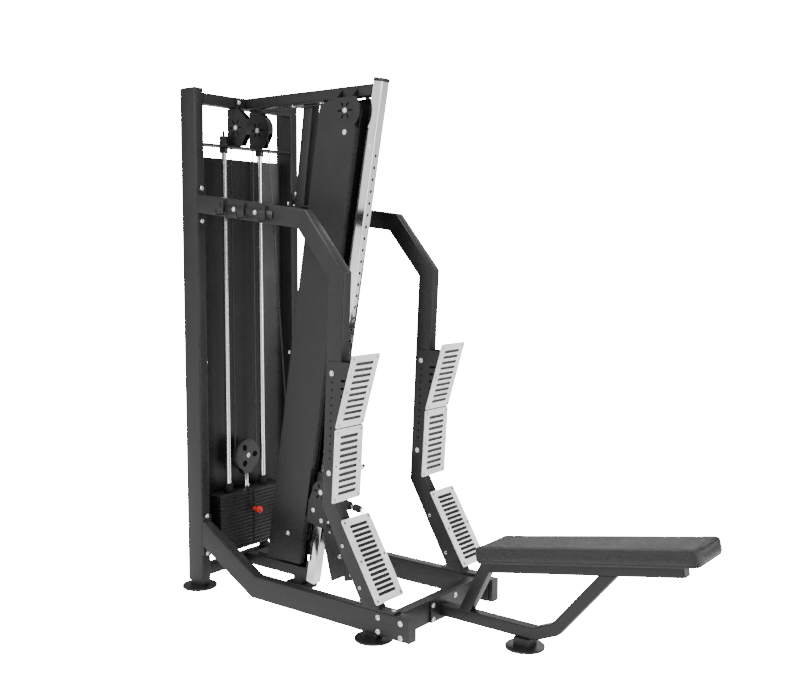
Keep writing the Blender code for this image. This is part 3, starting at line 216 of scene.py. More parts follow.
# fine_scratches: noise drawn out along one direction, kept only where it is highest.
fine_scratches, entry, leave = effect_group(
    "fine_scratches",
    [("Vector", "NodeSocketVector", None), ("Stretch", "NodeSocketVector", (1.0, 1.0, 30.0)),
     ("Cut", "NodeSocketFloat", 0.62)], ["Scratch"])
draw = add_node(fine_scratches, "ShaderNodeVectorMath", {"operation": "MULTIPLY"})
lines = add_node(fine_scratches, "ShaderNodeTexNoise", Scale=12.0, Detail=6.0, Roughness=0.65)
kept = add_node(fine_scratches, "ShaderNodeMapRange")
kept.inputs["From Max"].default_value = 0.80
fine_scratches.links.new(entry.outputs["Vector"], draw.inputs[0])
fine_scratches.links.new(entry.outputs["Stretch"], draw.inputs[1])
fine_scratches.links.new(draw.outputs[0], lines.inputs["Vector"])
fine_scratches.links.new(lines.outputs["Fac"], kept.inputs["Value"])
fine_scratches.links.new(entry.outputs["Cut"], kept.inputs["From Min"])
fine_scratches.links.new(kept.outputs["Result"], leave.inputs["Scratch"])


def finish(name, colour, roughness, metallic=0.0, grain=(300.0, 0.10, 0.00015), sheen=0.08, dust=0.0,
           tint=None, scratches=None, coat=0.0, specular=0.5):
    """A finish: grain (scale, strength, depth) as bump, sheen as the roughness range, dust, scratches."""
    made = bpy.data.materials.new(name)
    made.use_nodes = True
    tree = made.node_tree
    shader = tree.nodes["Principled BSDF"]
    shader.inputs["Metallic"].default_value = metallic
    shader.inputs["Coat Weight"].default_value = coat
    shader.inputs["Coat Roughness"].default_value = 0.12
    shader.inputs["Specular IOR Level"].default_value = specular
    place = add_node(tree, "ShaderNodeTexCoord")
    cloudy = add_node(tree, "ShaderNodeGroup", {"node_tree": uneven_sheen})
    tree.links.new(place.outputs["Object"], cloudy.inputs["Vector"])
    rough = add_node(tree, "ShaderNodeMapRange")
    rough.inputs["To Min"].default_value = roughness - sheen / 2
    rough.inputs["To Max"].default_value = roughness + sheen / 2
    tree.links.new(cloudy.outputs["Cloud"], rough.inputs["Value"])
    tree.links.new(rough.outputs["Result"], shader.inputs["Roughness"])
    paint = add_node(tree, "ShaderNodeMix", {"data_type": "RGBA"})
    paint.inputs[6].default_value = (*colour, 1.0)
    paint.inputs[7].default_value = (*(tint or [c * 1.35 for c in colour]), 1.0)
    tree.links.new(cloudy.outputs["Cloud"], paint.inputs[0])
    top = paint
    if dust:
        dusty = add_node(tree, "ShaderNodeGroup", {"node_tree": settled_dust})
        dusty.inputs["Amount"].default_value = dust
        tree.links.new(place.outputs["Object"], dusty.inputs["Vector"])
        over = add_node(tree, "ShaderNodeMix", {"data_type": "RGBA"})
        over.inputs[7].default_value = (0.30, 0.29, 0.28, 1.0)
        tree.links.new(dusty.outputs["Dust"], over.inputs[0])
        tree.links.new(top.outputs[2], over.inputs[6])
        top = over
    if scratches:
        worn = add_node(tree, "ShaderNodeGroup", {"node_tree": fine_scratches})
        worn.inputs["Stretch"].default_value = scratches[0]
        worn.inputs["Cut"].default_value = scratches[1]
        tree.links.new(place.outputs["Object"], worn.inputs["Vector"])
        lighter = add_node(tree, "ShaderNodeMix", {"data_type": "RGBA"})
        lighter.inputs[7].default_value = (*scratches[2], 1.0)
        tree.links.new(worn.outputs["Scratch"], lighter.inputs[0])
        tree.links.new(top.outputs[2], lighter.inputs[6])
        top = lighter
    tree.links.new(top.outputs[2], shader.inputs["Base Color"])
    grainy = add_node(tree, "ShaderNodeGroup", {"node_tree": surface_grain})
    grainy.inputs["Scale"].default_value = grain[0]
    tree.links.new(place.outputs["Object"], grainy.inputs["Vector"])
    bump = add_node(tree, "ShaderNodeBump", Strength=grain[1], Distance=grain[2])
    tree.links.new(grainy.outputs["Height"], bump.inputs["Height"])
    tree.links.new(bump.outputs["Normal"], shader.inputs["Normal"])
    return made


powder_coat = finish("powder_coat", (0.0105, 0.0105, 0.011), 0.40, grain=(420.0, 0.22, 0.0003), sheen=0.07,
                     dust=0.04, specular=0.36)


def add_piece(name, points, faces, coating, slot, body="frame", replaces=(), crease=40.0):
    """Puts a computed surface into the scene on its body; sharp where it folds more than crease."""
    places = np.asarray(points, float).reshape(-1, 3) + (rear_x, 0.0, 0.0)
    mesh = bpy.data.meshes.new(name)
    mesh.from_pydata(places.tolist(), [], [list(map(int, face)) for face in faces])
    outward = bmesh.new()
    outward.from_mesh(mesh)
    bmesh.ops.recalc_face_normals(outward, faces=outward.faces)
    outward.to_mesh(mesh)
    outward.free()
    mesh.materials.append(coating)
    mesh.shade_smooth()
    mesh.set_sharp_from_angle(angle=math.radians(crease))
    obj = bpy.data.objects.new(name, mesh)
    bpy.context.scene.collection.objects.link(obj)
    if body:
        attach(obj, body)
    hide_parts(*replaces)
    return obj


def joined(*parts):
    """Several (points, faces) surfaces as one: each part's faces count on from the points before it."""
    points, faces, count = [], [], 0
    for part_points, part_faces in parts:
        part_points = np.asarray(part_points, float).reshape(-1, 3)
        points.append(part_points)
        faces += [[int(corner) + count for corner in face] for face in part_faces]
        count += len(part_points)
    return np.concatenate(points), faces


def ring_faces(rings, sides, closed=True):
    """Quads between neighbouring rings of equal length, and a flat face on the first and last ring."""
    i, j = np.meshgrid(np.arange(rings - 1) * sides, np.arange(sides), indexing="ij")
    k = (j + 1) % sides
    quads = np.stack([i + j, i + k, i + sides + k, i + sides + j], -1).reshape(-1, 4)[:, ::-1]
    ends = [list(range(sides)), list(range(rings * sides - 1, (rings - 1) * sides - 1, -1))]
    return quads.tolist() + (ends if closed else [])


def tube_outline(depth, width, corner=0.005, steps=5):
    """A rolled tube's outline: each corner's centre plus the corner radius turned through a quarter."""
    quarter = np.arange(4) * 90.0
    turn = np.radians(np.add.outer(quarter, np.linspace(0.0, 90.0, steps))).ravel()
    middle = np.radians(np.repeat(quarter + 45.0, steps))
    across = (depth / 2 - corner) * np.sign(np.cos(middle)) + corner * np.cos(turn)
    along = (width / 2 - corner) * np.sign(np.sin(middle)) + corner * np.sin(turn)
    return np.stack([across, along], -1)


def tube(route, depth, width, y=0.0, start=None, end=None, corner=0.005):
    """A tube along a route of (x, z): each ring lies in the plane that halves the bend at its point."""
    route = np.asarray(route, float)
    run = np.diff(route, axis=0)
    run /= np.linalg.norm(run, axis=1)[:, None]
    before = np.vstack([run[:1], run])
    mitre = before + np.vstack([run, run[-1:]])
    mitre /= np.linalg.norm(mitre, axis=1)[:, None]
    if start is not None:
        mitre[0] = start
    if end is not None:
        mitre[-1] = end
    outline = tube_outline(depth, width, corner)
    side = np.stack([before[:, 1], -before[:, 0]], -1)
    offset = outline[None, :, 0, None] * side[:, None, :]
    slide = -(offset * mitre[:, None, :]).sum(-1) / (before * mitre).sum(-1)[:, None]
    flat = route[:, None, :] + offset + slide[..., None] * before[:, None, :]
    across = np.broadcast_to(y + outline[:, 1], flat.shape[:2])
    points = np.stack([flat[..., 0], across, flat[..., 1]], -1)
    return points.reshape(-1, 3), ring_faces(len(route), len(outline))


def slab(middle, size, turn=np.eye(3), corner=0.006, edge=0.0008):
    """A plate of (u, v, thickness) about its middle: four outlines, the outer two drawn in by the edge."""
    u, v, thick = size
    half = thick / 2
    rings = []
    for inset, height in ((edge, -half), (0, edge - half), (0, half - edge), (edge, half)):
        outline = tube_outline(u - 2 * inset, v - 2 * inset, corner - inset, 4)
        rings.append(np.column_stack([outline, np.full(len(outline), height)]))
    points = np.concatenate(rings) @ np.asarray(turn, float) + middle
    return points, ring_faces(4, 16)


ACROSS = np.array([[0, 1, 0], [0, 0, 1], [1, 0, 0]])     # a slab that faces +X: width along Y, height along Z
SIDEWAYS = np.array([[0, 0, 1], [1, 0, 0], [0, 1, 0]])   # faces +Y: u along Z, v along X
LEVEL = np.eye(3)

square = 0.050
track = 0.305
upright_top, rail_under = 2.292, 0.031
beam_z, base_z, rail_z = 2.248, 0.073, 0.081
inside = track - 0.0255

for side, sign in (("near", -1), ("far", 1)):
    y = sign * track
    rise = np.linspace(rail_under, upright_top, 3)
    post = tube([(0.050, z) for z in rise], 0.100, 0.050, y)
    add_piece(f"{side}_upright_tube", *post, powder_coat, "black_paint", replaces=[f"{side}_upright"])
    arm = tube([(0.1085, 1.7782), (0.7364, 1.7012), (0.9273, 1.4732), (0.8826, 0.5308), (1.1025, 0.1395)],
               0.080, 0.050, y, start=(1, 0), end=(0, 1))
    flange = slab((0.1045, y, 1.768), (0.050, 0.168, 0.008), ACROSS)
    base = slab((1.1225, y, 0.1359), (0.205, 0.050, 0.009), LEVEL)
    add_piece(f"{side}_side_frame_tube", *joined(arm, flange, base), powder_coat, "black_paint",
              replaces=[f"{side}_side_frame"])
    rail = tube([(0.1085, 0.2617), (0.4306, rail_z), (1.2980, rail_z)], 0.100, 0.050, y, start=(1, 0))
    flange = slab((0.1045, y, 0.254), (0.050, 0.192, 0.008), ACROSS)
    add_piece(f"{side}_floor_rail_tube", *joined(rail, flange), powder_coat, "black_paint",
              replaces=[f"{side}_floor_rail"])


def cross_tube(x, z, depth_x, depth_z, half, corner=0.005):
    """A tube along Y: one outline at each end and at the middle."""
    outline = tube_outline(depth_x, depth_z, corner)
    stations = np.array([-half, 0.0, half])
    points = np.empty((3, len(outline), 3))
    points[..., 0] = x + outline[:, 0]
    points[..., 1] = stations[:, None]
    points[..., 2] = z + outline[:, 1]
    return points.reshape(-1, 3), [face[::-1] for face in ring_faces(3, len(outline))]


for name, x, z in (("top_crossbeam", 0.075, beam_z), ("base_crossbeam", 0.050, base_z),
                   ("arm_crossbar", 0.440, 1.739)):
    add_piece(f"{name}_tube", *cross_tube(x, z, square, square, inside), powder_coat, "black_paint",
              replaces=[name])
front_bar = cross_tube(1.205, rail_z, square, 0.098, inside - 0.008)
ends = [slab((1.205, s * (inside - 0.004), rail_z), (0.096, 0.150, 0.008), SIDEWAYS) for s in (-1, 1)]
add_piece("front_crossbeam_tube", *joined(front_bar, *ends), powder_coat, "black_paint",
          replaces=["front_crossbeam"])


# ---------------------------------------------------------------- boom, strut and seat frame tubes
# The boom runs forward from the top crossbeam to the leaning column and stands on a short strut.
# The seat frame is one bent floor tube with a beam for the pad.  All are welded 50 mm tube with
# 8 mm end plates, painted like the rest.
lean = math.radians(10.2)
column_foot = 0.4846
FACING_COLUMN = np.array([[0, 1, 0], [math.sin(lean), 0, math.cos(lean)],
                          [math.cos(lean), 0, -math.sin(lean)]])

column_back = column_foot + beam_z * math.tan(lean) - 0.0255 / math.cos(lean)
boom = tube([(0.1085, beam_z), (column_back - 0.008, beam_z)], square, square, start=(1, 0),
            end=(math.cos(lean), -math.sin(lean)))
boom_rear = slab((0.1045, 0.0, beam_z), (0.170, 0.048, 0.008), ACROSS)
boom_front = slab((column_back - 0.0045, 0.0, beam_z), (0.050, 0.048, 0.008), FACING_COLUMN)
fork = [slab((0.748, y, 2.1845), (0.077, 0.044, 0.003), SIDEWAYS, 0.004, 0.0004) for y in (-0.0335, -0.0065)]
add_piece("top_boom_tube", *joined(boom, boom_rear, boom_front, *fork), powder_coat, "black_paint",
          replaces=["top_boom"])
strut = tube([(0.440, 1.7725), (0.498, 2.2145)], 0.056, 0.050, start=(0, 1), end=(0, 1))
strut_low = slab((0.440, 0.0, 1.7685), (0.124, 0.060, 0.008), LEVEL)
strut_high = slab((0.498, 0.0, 2.2185), (0.210, 0.080, 0.008), LEVEL)
add_piece("boom_strut_tube", *joined(strut, strut_low, strut_high), powder_coat, "black_paint",
          replaces=["boom_strut"])
seat_tilt = math.radians(10.0)
floor_tube = tube([(1.2385, 0.0715), (1.683, 0.0715), (1.7735, 0.111), (1.9915, 0.3706)], square, square,
                  start=(1, 0), end=(-math.sin(seat_tilt), math.cos(seat_tilt)))
seat_beam = tube([(1.3545, 0.0955), (1.453, 0.3005), (2.285, 0.4472)], 0.0498, 0.0498, start=(0, 1))
seat_flange = slab((1.2345, 0.0, 0.081), (0.190, 0.098, 0.008), ACROSS)
FACING_PAD_END = np.array([[0, 1, 0], [-math.sin(seat_tilt), 0, math.cos(seat_tilt)],
                           [math.cos(seat_tilt), 0, math.sin(seat_tilt)]])
seat_cap = slab((2.2865, 0.0, 0.4475), (0.049, 0.049, 0.003), FACING_PAD_END, 0.004)
add_piece("seat_frame_tube", *joined(floor_tube, seat_beam, seat_flange, seat_cap), powder_coat,
          "black_paint", replaces=["seat_frame"])


# ---------------------------------------------------------------- brackets, housings and covers
# Laser-cut and folded sheet, 2 to 8 mm thick, deburred and powder coated: the cable covers either
# side of the column, the rear shroud, the guide-rod plate, the pulley housings, the foot-plate
# brackets and the short centre rail.
def eased(name, coating, body="frame", width=0.0007):
    """A node's own shape made ready to show: flat faces merged and each fold over 15 degrees rounded."""
    mesh = nodes[name].data.copy()
    mesh.transform(nodes[name].matrix_world)
    shape = bmesh.new()
    shape.from_mesh(mesh)
    bmesh.ops.remove_doubles(shape, verts=shape.verts, dist=0.00002)
    bmesh.ops.dissolve_limit(shape, angle_limit=0.01, verts=shape.verts, edges=shape.edges)
    shape.to_mesh(mesh)
    shape.free()
    mesh.materials.clear()
    mesh.materials.append(coating)
    mesh.shade_smooth()
    mesh.set_sharp_from_angle(angle=math.radians(15))
    obj = bpy.data.objects.new(f"{name}_finished", mesh)
    bpy.context.scene.collection.objects.link(obj)
    rounding = obj.modifiers.new("rounding", "BEVEL")
    rounding.width = width
    rounding.segments = 2
    rounding.limit_method = "ANGLE"
    rounding.angle_limit = math.radians(15)
    rounding.harden_normals = True
    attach(obj, body)
    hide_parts(name)
    return obj


for name in ("near_cable_cover", "far_cable_cover", "rear_shroud", "near_top_pulley_housing",
             "far_top_pulley_housing", "near_foot_bracket", "far_foot_bracket", "near_lower_bracket",
             "far_lower_bracket"):
    eased(name, powder_coat)
for name in ("guide_rod_plate", "centre_floor_rail"):
    eased(name, powder_coat, width=0.0015)

# ---------------------------------------------------------------- foot plates
# Six laser-cut steel treads, 4 mm thick, painted silver.  Each stands on a bent bracket, has a
# column of rounded slots 112 mm long for grip, and is held by six countersunk screws.
silver_coat = finish("silver_coat", (0.84, 0.84, 0.85), 0.38, metallic=0.08, grain=(700.0, 0.25, 0.0002),
                     sheen=0.12, scratches=((3.0, 3.0, 9.0), 0.66, (0.50, 0.50, 0.50)))
zinc = finish("zinc", (0.66, 0.66, 0.66), 0.26, metallic=1.0, grain=(900.0, 0.20, 0.0001), sheen=0.14)
shadow_black = finish("shadow_black", (0.003, 0.003, 0.003), 0.85, grain=(300.0, 0.10, 0.0001), specular=0.1)
cell_steps = 32
around = np.arange(cell_steps) * math.tau / cell_steps
cell_round = np.stack([np.cos(around), np.sin(around)], -1)
cell_square = cell_round / np.abs(cell_round).max(1)[:, None]


def sheet_piece(name, flat, faces, place, thickness, coating, body="frame", replaces=()):
    """A flat sheet: its (u, v) points put in space by place, welded, thickened and its edges eased."""
    shape = bmesh.new()
    corners = [shape.verts.new(point) for point in place(np.asarray(flat, float)) + (rear_x, 0, 0)]
    for face in faces:
        shape.faces.new([corners[int(i)] for i in face])
    bmesh.ops.remove_doubles(shape, verts=shape.verts, dist=0.00003)
    bmesh.ops.recalc_face_normals(shape, faces=shape.faces)
    mesh = bpy.data.meshes.new(name)
    shape.to_mesh(mesh)
    shape.free()
    mesh.materials.append(coating)
    obj = bpy.data.objects.new(name, mesh)
    bpy.context.scene.collection.objects.link(obj)
    wall = obj.modifiers.new("wall", "SOLIDIFY")
    wall.thickness = thickness
    wall.offset = -1.0
    ease = obj.modifiers.new("ease", "BEVEL")
    ease.width = min(0.0006, thickness * 0.2)
    ease.segments = 2
    ease.limit_method = "ANGLE"
    mesh.shade_smooth()
    ease.harden_normals = True
    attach(obj, body)
    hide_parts(*replaces)
    return obj


plate_half, corner_radius = 0.088, 0.0075
slot_radius, slot_reach, slot_margin = 0.0066, 0.0494, 0.036
quarter_turn = np.radians(np.linspace(0, 90, 8))
tread_screws = []
treads = {"upper": ((0.977, 0.864), (1.067, 1.161), 10), "middle": ((0.958, 0.555), (0.9765, 0.8595), 10),
          "lower": ((1.190, 0.184), (1.005, 0.495), 15)}
for side, sign in (("near", -1), ("far", 1)):
    for level, (low, high, slots) in treads.items():
        low, high = np.array(low), np.array(high)
        length = np.linalg.norm(high - low)
        rise = (high - low) / length
        front = np.array([rise[1], -rise[0]])
        pitch = (length - 2 * slot_margin) / (slots - 1)
        ends = slot_reach * np.sign(np.round(cell_round[:, 0], 9))
        stadium = np.stack([slot_radius * cell_round[:, 1], ends + slot_radius * cell_round[:, 0]], -1)
        centres = [(slot_margin + pitch * i, 0.0) for i in range(slots)]
        turned_square = cell_square[:, ::-1]
        cells = []
        for centre in centres:
            rim = turned_square * (pitch / 2, plate_half)
            cells.append((np.concatenate([stadium, rim]) + centre,
                          [[k, (k + 1) % cell_steps, (k + 1) % cell_steps + cell_steps, k + cell_steps]
                           for k in range(cell_steps)]))
        edge = np.unique(np.round(turned_square[np.abs(np.abs(turned_square[:, 0]) - 1) < 1e-9][:, 1], 9))
        strips = []
        for inner, outer in ((slot_margin - pitch / 2, 0.0), (length - slot_margin + pitch / 2, length)):
            row = np.stack([np.full(len(edge), inner), edge * plate_half], -1)
            out = math.copysign(corner_radius, outer - inner)
            arc_u = outer - out + out * np.sin(quarter_turn)
            arc_v = plate_half - corner_radius + corner_radius * np.cos(quarter_turn)
            rounded = np.concatenate([np.stack([arc_u, arc_v], -1),
                                      np.stack([arc_u[::-1], -arc_v[::-1]], -1)])
            strips.append((np.concatenate([row, rounded]), [list(range(len(edge) + len(rounded)))]))
        flat_points, flat_faces, count = [], [], 0
        for points, faces in cells + strips:
            flat_points.append(points)
            flat_faces += [[i + count for i in face] for face in faces]
            count += len(points)

        def stand(flat, low=low, rise=rise, y=sign * 0.305):
            """Places in space: the low edge plus the height times the rise, and the width across."""
            return np.column_stack([low[0] + flat[:, 0] * rise[0], y + flat[:, 1],
                                    low[1] + flat[:, 0] * rise[1]])

        plate = sheet_piece(f"{side}_{level}_tread", np.concatenate(flat_points), flat_faces, stand, 0.004,
                            silver_coat, replaces=[f"{side}_{level}_foot_plate"])
        if plate.data.polygons[0].normal.x < 0:
            plate.data.flip_normals()
        for u in (0.014, length / 2, length - 0.014):
            for v in (-0.074, 0.074):
                place = (low[0] + u * rise[0], sign * 0.305 + v, low[1] + u * rise[1])
                tread_screws.append((place, (front[0], 0.0, front[1])))


# ---------------------------------------------------------------- bolts and screws
# Zinc-plated button-head bolts with a hexagon socket and a plain washer hold every flange; small
# countersunk screws hold the treads and the column's fittings.
def turned(profile, centre, axis=(0.0, 1.0, 0.0), steps=40, hexagon=()):
    """A turned shape: each (radius, height) is taken round the axis; rings in hexagon are six-sided."""
    profile = np.asarray(profile, float)
    along = np.asarray(axis, float) / np.linalg.norm(axis)
    side = np.cross(along, (0.0, 0.0, 1.0) if abs(along[2]) < 0.9 else (1.0, 0.0, 0.0))
    side /= np.linalg.norm(side)
    turn = np.arange(steps) * math.tau / steps
    rim = np.outer(np.cos(turn), side) + np.outer(np.sin(turn), np.cross(along, side))
    radius = np.repeat(profile[:, :1], steps, 1)
    sixth = np.mod(turn, math.tau / 6) - math.tau / 12
    for ring in hexagon:
        radius[ring] *= math.cos(math.tau / 12) / np.cos(sixth)
    points = np.asarray(centre) + radius[..., None] * rim + profile[:, 1, None, None] * along
    return points.reshape(-1, 3), ring_faces(len(profile), steps)


def bolt(place, axis, head=0.0084, tall=0.0058):
    """A button-head bolt on its washer, with a hexagon socket in the head."""
    washer = head * 1.35
    profile = [(washer, 0.0), (washer, 0.0012), (washer - 0.0004, 0.0016), (head, 0.0016), (head, 0.0026),
               (head * 0.93, tall * 0.75), (head * 0.72, tall * 0.96), (head * 0.56, tall),
               (head * 0.54, tall - 0.0003), (head * 0.54, tall * 0.45)]
    return turned(profile, place, axis, 24, hexagon=(8, 9))


def screw(place, axis, head=0.0042):
    """A small flat screw that stands just proud of the sheet, with a hexagon socket."""
    profile = [(head, -0.001), (head, 0.0005), (head - 0.0004, 0.0009), (head * 0.55, 0.0009),
               (head * 0.5, -0.0004)]
    return turned(profile, place, axis, 18, hexagon=(3, 4))


add_piece("tread_screws", *joined(*[screw(*item) for item in tread_screws]), zinc, "chrome")
# Painted shadow: a flat black ring under each tread screw, a little wider than its head, stands for the shade
# in its countersink.
screw_shadow_rings = [turned([(0.0056, -0.001), (0.0056, 0.0003)], *item, 20) for item in tread_screws]
add_piece("tread_screw_shadow_rings", *joined(*screw_shadow_rings), shadow_black, "silver_paint")

flange_bolts = []
for sign in (-1, 1):
    for y in (sign * 0.330, sign * 0.280):
        out = (0.0, math.copysign(1.0, y - sign * 0.305), 0.0)
        beyond = y + 0.004 * out[1]
        flange_bolts += [((x, y, z), out) for x, z in ((0.958, 0.368), (1.050, 0.210))]
        flange_bolts += [((x, beyond, z), out) for x, z in ((0.905, 1.077), (0.887, 0.662))]
    flange_bolts += [((x, sign * 0.330, z), (0, sign, 0)) for x in (1.143, 1.257) for z in (0.0475, 0.1065)]
    flange_bolts += [((0.1085, sign * 0.305, z), (1, 0, 0)) for z in (1.847, 1.702, 0.346, 0.170)]
    flange_bolts += [((x, sign * 0.305, 0.1404), (0, 0, 1)) for x in (1.032, 1.205)]
    flange_bolts += [((0.085, sign * 0.277, z), (1, 0, 0)) for z in (1.800, 1.060, 0.300)]
flange_bolts += [((0.1085, y, 2.249), (1, 0, 0)) for y in (-0.070, 0.070)]
flange_bolts += [((0.498 + x, y, 2.2145), (0, 0, -1)) for x in (-0.085, 0.085) for y in (-0.028, 0.028)]
flange_bolts += [((x, 0.0, 1.7725), (0, 0, 1)) for x in (0.388, 0.492)]
flange_bolts += [((1.2385, y, z), (1, 0, 0)) for y in (-0.080, 0.080) for z in (0.046, 0.108)]
flange_bolts += [((x, s * 0.065, z), (0, s, 0)) for s in (-1, 1) for x, z in ((0.745, 2.075), (0.392, 0.262))]
add_piece("frame_bolts", *joined(*[bolt(*item) for item in flange_bolts]), zinc, "chrome")
# Painted shade: flat black discs on both faces of each foot bracket stand for the dark inside of its row of
# holes.
hole_row = [((0.9065 - 0.0015 * i, s * 0.305 + face * 0.029, 1.040 - 0.0317 * i), (0, face, 0))
            for s in (-1, 1) for face in (-1, 1) for i in range(11)]
hole_shades = [turned([(0.0042, -0.001), (0.0042, 0.0003)], *item, 20) for item in hole_row]
add_piece("bracket_hole_shades", *joined(*hole_shades), shadow_black, "black_paint")


# ---------------------------------------------------------------- pulley column
# A chromed 50 mm square tube that leans 10.2 degrees, with a hole every 50.8 mm in its front face
# for the carriage's pin, polished lengthwise before plating.  A black cap closes its top.
chrome = finish("chrome", (0.78, 0.78, 0.79), 0.13, metallic=1.0, grain=(500.0, 0.05, 0.0001), sheen=0.06,
                tint=(0.84, 0.84, 0.85), scratches=((60.0, 60.0, 1.2), 0.66, (0.62, 0.62, 0.63)))
nylon = finish("nylon", (0.012, 0.012, 0.0125), 0.36, grain=(600.0, 0.20, 0.0002), sheen=0.10, dust=0.04,
               specular=0.45)


def leaning(points):
    """Places given along the column (ahead of its axis, across, up its length) as places in space."""
    points = np.asarray(points, float)
    ahead, up = points[..., 0], points[..., 2]
    return np.stack([column_foot + ahead * math.cos(lean) + up * math.sin(lean), points[..., 1],
                     up * math.cos(lean) - ahead * math.sin(lean)], -1)


hole_top, hole_pitch, hole_count, hole_radius = 2.010, 0.0508, 32, 0.007
half_side, round_corner = square / 2, 0.004
flat_half = half_side - round_corner
hole_places = hole_top - hole_pitch * np.arange(hole_count)
hole_rim = cell_round * hole_radius
cell_rim = cell_square * (flat_half, hole_pitch / 2)
front_points = np.concatenate([np.broadcast_to(hole_rim, (hole_count, cell_steps, 2)),
                               np.broadcast_to(cell_rim, (hole_count, cell_steps, 2))], 1)
front_points = front_points + np.stack([np.zeros(hole_count), hole_places], -1)[:, None]
step = np.arange(cell_steps)
quads = np.stack([step, (step + 1) % cell_steps, (step + 1) % cell_steps + cell_steps, step + cell_steps], -1)
front_faces = (quads[None] + (np.arange(hole_count) * 2 * cell_steps)[:, None, None]).reshape(-1, 4).tolist()
front_space = np.column_stack([np.full(hole_count * 2 * cell_steps, half_side), front_points.reshape(-1, 2)])
side_steps = np.unique(np.round(cell_rim[np.abs(cell_rim[:, 0] - flat_half) < 1e-9][:, 1], 7))
levels = np.unique(np.round(np.concatenate([[0.034, 2.317], (hole_places[:, None] + side_steps).ravel()]), 6))
edge_points = np.unique(np.round(cell_rim[np.abs(cell_rim[:, 1] - hole_pitch / 2) < 1e-9][:, 0], 7))
for low, high in ((0.034, hole_places[-1] - hole_pitch / 2), (hole_top + hole_pitch / 2, 2.317)):
    strip = [(half_side, y, s) for s, row in ((low, edge_points), (high, edge_points[::-1])) for y in row]
    front_faces.append(list(range(len(front_space), len(front_space) + len(strip))))
    front_space = np.concatenate([front_space, strip])
outline = tube_outline(square, square, round_corner, 6)
start = int(np.argmin(np.abs(outline[:, 0] - half_side) + np.abs(outline[:, 1] - flat_half)))
outline = np.roll(outline, -start, axis=0)
shell = np.concatenate([np.broadcast_to(outline, (len(levels), len(outline), 2)),
                        np.broadcast_to(levels[:, None, None], (len(levels), len(outline), 1))], -1)
shell = shell.reshape(-1, 3)
i, j = np.meshgrid(np.arange(len(levels) - 1), np.arange(len(outline) - 1), indexing="ij")
first = (i * len(outline) + j).ravel()
shell_faces = np.stack([first, first + 1, first + 1 + len(outline), first + len(outline)], -1)
column_points = np.concatenate([front_space, shell])
column_faces = front_faces + (shell_faces + len(front_space)).tolist()
sheet_piece("pulley_column_tube", column_points, column_faces, leaning, 0.003, chrome,
            replaces=["pulley_column"])
cap_points, cap_faces = slab((0.0, 0.0, 2.3245), (0.053, 0.053, 0.015), LEVEL, 0.005, 0.0015)
add_piece("column_cap", leaning(cap_points), cap_faces, nylon, "black_plastic")
ahead = np.array([math.cos(lean), 0.0, -math.sin(lean)])
fittings = [screw(leaning((half_side, y, s)), ahead, 0.0048)
            for y, s in ((-0.012, 2.262), (0.012, 2.262), (0.0, 2.244), (0.0, 2.280))]
fittings += [bolt(leaning((0.0, -half_side, 2.045)), (0, -1, 0), 0.008),
             bolt(leaning((0.0, half_side, 2.045)), (0, 1, 0), 0.008)]
add_piece("column_fittings", *joined(*fittings), zinc, "chrome")

# ---------------------------------------------------------------- guide rods and weight stack
# Two 25 mm chromed rods carry the stack.  The sixteen plates are cast iron, 422 by 100 by 17 mm,
# painted black; rubber bushes and bumpers sit round the rods.  A chromed selector rod hangs from
# the lift pulley's block, and a steel pin with a red plastic knob picks the plates.
cast_iron = finish("cast_iron", (0.012, 0.012, 0.0125), 0.46, grain=(320.0, 0.30, 0.0004), sheen=0.10,
                   dust=0.04, specular=0.35)
rubber = finish("rubber", (0.010, 0.010, 0.010), 0.72, grain=(700.0, 0.45, 0.0003), sheen=0.10, dust=0.08,
                specular=0.30)
red_plastic = finish("red_plastic", (0.48, 0.014, 0.010), 0.30, grain=(500.0, 0.10, 0.0001), sheen=0.08,
                     coat=0.3)

rod_x, rod_half = 0.050, 0.115
for side, sign in (("near", -1), ("far", 1)):
    centre = (rod_x, sign * rod_half, 0.0)
    shaft = turned([(0.0115, 0.100), (0.0125, 0.101), (0.0125, 2.055), (0.0115, 2.056)], centre,
                   (0, 0, 1), 32)
    add_piece(f"{side}_guide_rod_bar", *shaft, chrome, "chrome", replaces=[f"{side}_guide_rod"])
    bumper = turned([(0.022, 0.0985), (0.024, 0.1005), (0.024, 0.1345), (0.022, 0.1365), (0.0126, 0.1365)],
                    centre, (0, 0, 1), 32)
    add_piece(f"{side}_bumper", *bumper, rubber, "black_rubber")
    rise = 2.0975 if sign < 0 else 2.0645
    wide = 0.020 if sign < 0 else 0.016
    collar = turned([(0.0126, 2.0195), (0.019, 2.0195), (0.020, 2.0205), (0.020, 2.0425), (0.019, 2.0435),
                     (0.0126, 2.0435)], centre, (0, 0, 1), 32)
    head = turned([(wide - 0.001, 2.0525), (wide, 2.0535), (wide, rise - 0.001), (wide - 0.001, rise),
                   (0.0065, rise), (0.006, rise + 0.001), (0.006, rise + 0.0235), (0.005, rise + 0.0245)],
                  centre, (0, 0, 1), 32)
    add_piece(f"{side}_rod_collars", *joined(collar, head), nylon, "black_plastic")
    grub = [screw((rod_x + 0.0195, sign * rod_half, z), (1, 0, 0), 0.0032) for z in (2.0315, 2.0575)]
    add_piece(f"{side}_grub_screws", *joined(*grub), zinc, "chrome")

